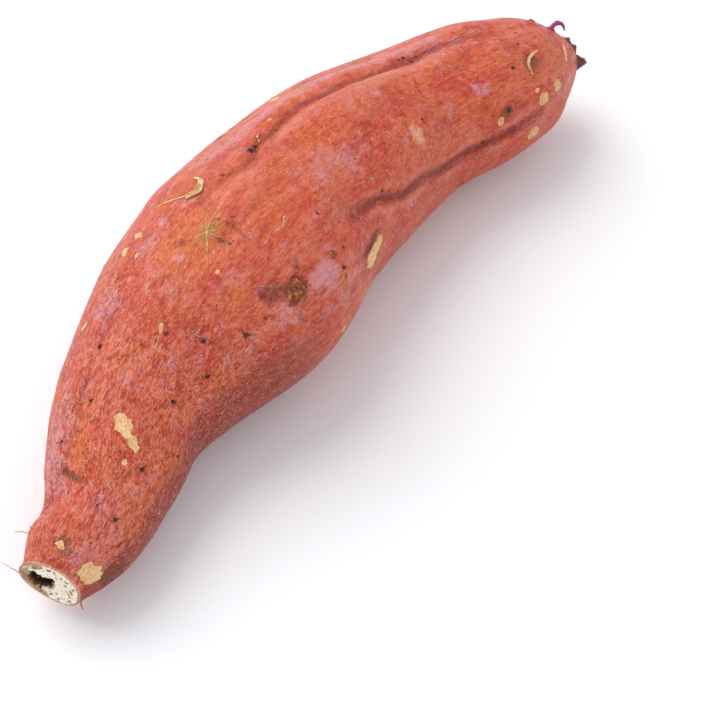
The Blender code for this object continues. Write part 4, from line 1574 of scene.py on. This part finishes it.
def strewing_tree(name, finish):
    """The tree, and the identifier of each of its named inputs."""
    tree = bpy.data.node_groups.new(name, "GeometryNodeTree")
    sockets = {
        label: tree.interface.new_socket(label, in_out="INPUT", socket_type="NodeSocket" + kind).identifier
        for label, kind in TREE_INPUTS.items()
    }
    tree.interface.new_socket("Strewn", in_out="OUTPUT", socket_type="NodeSocketGeometry")

    def add(kind, sockets=None, **settings):
        return add_node(tree, kind, sockets or {}, settings).outputs

    given = add("NodeGroupInput")

    def random_between(low, high):
        sockets = {2: low, 3: high, "Seed": given["Seed"]}
        return add("FunctionNodeRandomValue", sockets, data_type="FLOAT")[1]

    share = add("GeometryNodeInputNamedAttribute", {"Name": "strew"}, data_type="FLOAT")
    points = add(
        "GeometryNodeDistributePointsOnFaces",
        {
            "Mesh": given["Skin"], "Distance Min": given["Spacing"], "Density Max": given["Density"],
            "Density Factor": share["Attribute"], "Seed": given["Seed"],
        },
        distribute_method="POISSON",
    )
    shape = add("GeometryNodeObjectInfo", {"Object": given["Shape"]})
    away = add("ShaderNodeMath", {0: given["Lean"], 1: -1.0}, operation="MULTIPLY")
    tilt = random_between(away[0], given["Lean"])
    turn = add("ShaderNodeCombineXYZ", {"X": tilt, "Z": random_between(-math.pi, math.pi)})
    placed = add(
        "GeometryNodeInstanceOnPoints",
        {
            "Points": points["Points"], "Instance": shape["Geometry"], "Rotation": points["Rotation"],
            "Scale": random_between(given["Smallest"], given["Largest"]),
        },
    )
    turned = add("GeometryNodeRotateInstances", {"Instances": placed[0], "Rotation": turn[0]})
    real = add("GeometryNodeRealizeInstances", {"Geometry": turned[0]})
    painted = add("GeometryNodeSetMaterial", {"Geometry": real[0], "Material": finish})
    add_node(tree, "NodeGroupOutput", {0: painted[0]}, {})
    return tree, sockets


def strew(name, shape_mesh, finish, share, **settings):
    """Strews a shape over the skin and keeps the result as a plain mesh."""
    ground = bpy.data.objects.new(name + "_ground", skin_mesh.copy())
    shape = bpy.data.objects.new(name + "_shape", shape_mesh)
    bpy.context.scene.collection.objects.link(ground)
    bpy.context.scene.collection.objects.link(shape)
    keep_values(ground.data, "strew", with_seat(np.clip(share, 0, 1), 0.0))
    tree, sockets = strewing_tree(name + "_tree", finish)
    modifier = ground.modifiers.new("strew", "NODES")
    modifier.node_group = tree
    for label, value in {"Shape": shape, **settings}.items():
        modifier[sockets[label]] = value
    bpy.context.view_layer.update()
    graph = bpy.context.evaluated_depsgraph_get()
    mesh = bpy.data.meshes.new_from_object(ground.evaluated_get(graph))
    mesh.name = name
    ground.modifiers.clear()
    for helper in (ground, shape):
        bpy.data.objects.remove(helper)
    turn_outwards(mesh)
    show(mesh, "tuber", finish)


# %% The shapes to strew
def hair_shape(bend, sides=4, rings=6):
    """A bent hair one unit long that stands on Z."""
    s = np.linspace(0, 1, rings)
    path = np.stack([bend * s * s, 0.3 * bend * np.sin(3 * s), s - 0.06], axis=1)
    return grid_mesh("hair_shape", tube_rings(path, 0.05 * (1 - 0.8 * s), sides))


def crumb_shape(seed, flat):
    """A rough lump one unit across, sunk a little into what it lies on."""
    work = bmesh.new()
    bmesh.ops.create_icosphere(work, subdivisions=1, radius=0.5)
    for vertex in work.verts:
        vertex.co *= 1 + 0.45 * noise.noise(vertex.co * 2.5 + Vector((seed, 0, 0)))
        vertex.co.z = vertex.co.z * flat + 0.08
    mesh = bpy.data.meshes.new("crumb_shape")
    work.to_mesh(mesh)
    work.free()
    return mesh


# %% Strew rootlets, soil and flakes
mark_sum = np.clip(marks["dark"] + 0.8 * marks["brown"], 0, 1)
clear = smooth_step(1.5, 5.0, skin_points[:, :, 2] / MM)  # nothing clings where the root rests
hair_share = 0.05 + 0.35 * neckness + 0.5 * mark_sum + 0.25 * furrow_floor
soil_share = 0.9 * mark_sum**2 + 0.35 * furrow_floor + 0.03
flake_share = 0.5 * marks["straw"] + 0.15 * marks["olive"] + 0.03 * (RAGGED > 0.1) + 0.5 * marks["cream"]
strew(
    "hair_rootlets", hair_shape(0.55), thread_finish, hair_share * clear,
    Density=26000.0, Spacing=2.4 * MM, Smallest=0.35 * MM, Largest=1.15 * MM, Lean=1.25, Seed=4,
)
strew(
    "soil_crumbs", crumb_shape(2.0, 0.6), soil_finish, soil_share * clear,
    Density=700000.0, Spacing=0.45 * MM, Smallest=0.14 * MM, Largest=0.42 * MM, Lean=0.5, Seed=9,
)
strew(
    "cork_flakes", crumb_shape(5.0, 0.22), peel_finish, flake_share * clear,
    Density=300000.0, Spacing=1.0 * MM, Smallest=0.2 * MM, Largest=0.55 * MM, Lean=0.45, Seed=14,
)

# %% [markdown]
# ## The stage
# A plain white table, a broad soft light from behind on the left, a weaker one in front and an
# even pale surround. The camera looks down from the neck's side.

# %% Table
TABLE_HALF, TABLE_LEVEL = 4.0, -0.0002
table_sheet = bmesh.new()
corners = [(x * TABLE_HALF, y * TABLE_HALF, TABLE_LEVEL) for x, y in ((-1, -1), (1, -1), (1, 1), (-1, 1))]
table_sheet.faces.new([table_sheet.verts.new(corner) for corner in corners])
table_mesh = bpy.data.meshes.new("table")
table_sheet.to_mesh(table_mesh)
table_sheet.free()
table = bpy.data.objects.new("table", table_mesh)
bpy.context.scene.collection.objects.link(table)
paper = Look("white_paper", Specular_IOR_Level=0.1, Base_Color=(0.90, 0.90, 0.91, 1), Roughness=0.9)
table_mesh.materials.append(paper.material)
table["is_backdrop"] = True

# %% Lights
VIEW_TURN, VIEW_RISE = math.radians(-53), math.radians(50)
RIGHT_WAY = Vector((math.cos(VIEW_TURN), math.sin(VIEW_TURN), 0))
BACK_WAY = Vector((math.sin(VIEW_TURN), -math.cos(VIEW_TURN), 0))
ROOT_MIDDLE = Vector((0, 0, 0.02))


def soft_light(name, place, width, power, tint):
    """A square light at a place that looks at the middle of the root."""
    lamp = bpy.data.lights.new(name, "AREA")
    lamp.shape = "SQUARE"
    lamp.size, lamp.energy, lamp.color = width, power, tint
    light = bpy.data.objects.new(name, lamp)
    light.location = place
    light.rotation_euler = (ROOT_MIDDLE - place).to_track_quat("-Z", "Y").to_euler()
    bpy.context.scene.collection.objects.link(light)


key_place = -RIGHT_WAY * 0.55 - BACK_WAY * 0.45 + Vector((0, 0, 0.95))
fill_place = RIGHT_WAY * 0.5 + BACK_WAY * 0.9 + Vector((0, 0, 0.7))
soft_light("key", key_place, 1.1, 11.2, (1.0, 0.985, 0.96))
soft_light("fill", fill_place, 0.9, 2.2, (0.95, 0.97, 1.0))
world = bpy.data.worlds.new("surround")
world.use_nodes = True
world.node_tree.nodes["Background"].inputs["Color"].default_value = (0.93, 0.95, 1.0, 1)
world.node_tree.nodes["Background"].inputs["Strength"].default_value = 0.76
bpy.context.scene.world = world
bpy.context.scene.view_settings.view_transform = "Standard"

# %% Camera
AIM = Vector((-0.0237, -0.0439, 0.0287))
CAMERA_DISTANCE = 0.5008
camera_data = bpy.data.cameras.new("camera")
camera_data.lens = 100
camera_data.clip_start = 0.01
camera = bpy.data.objects.new("camera", camera_data)
look_back = BACK_WAY * math.cos(VIEW_RISE) + Vector((0, 0, math.sin(VIEW_RISE)))
camera.location = AIM + look_back * CAMERA_DISTANCE
camera.rotation_euler = (-look_back).to_track_quat("-Z", "Y").to_euler()
bpy.context.scene.collection.objects.link(camera)
bpy.context.scene.camera = camera

# %% Print the sizes and finish
made_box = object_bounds()
boxes = {"cad": [list(corner) for corner in cad_box], "made": [list(corner) for corner in made_box]}
for name, box in boxes.items():
    print(name, "box in mm:", [[round(v / MM, 1) for v in corner] for corner in box])
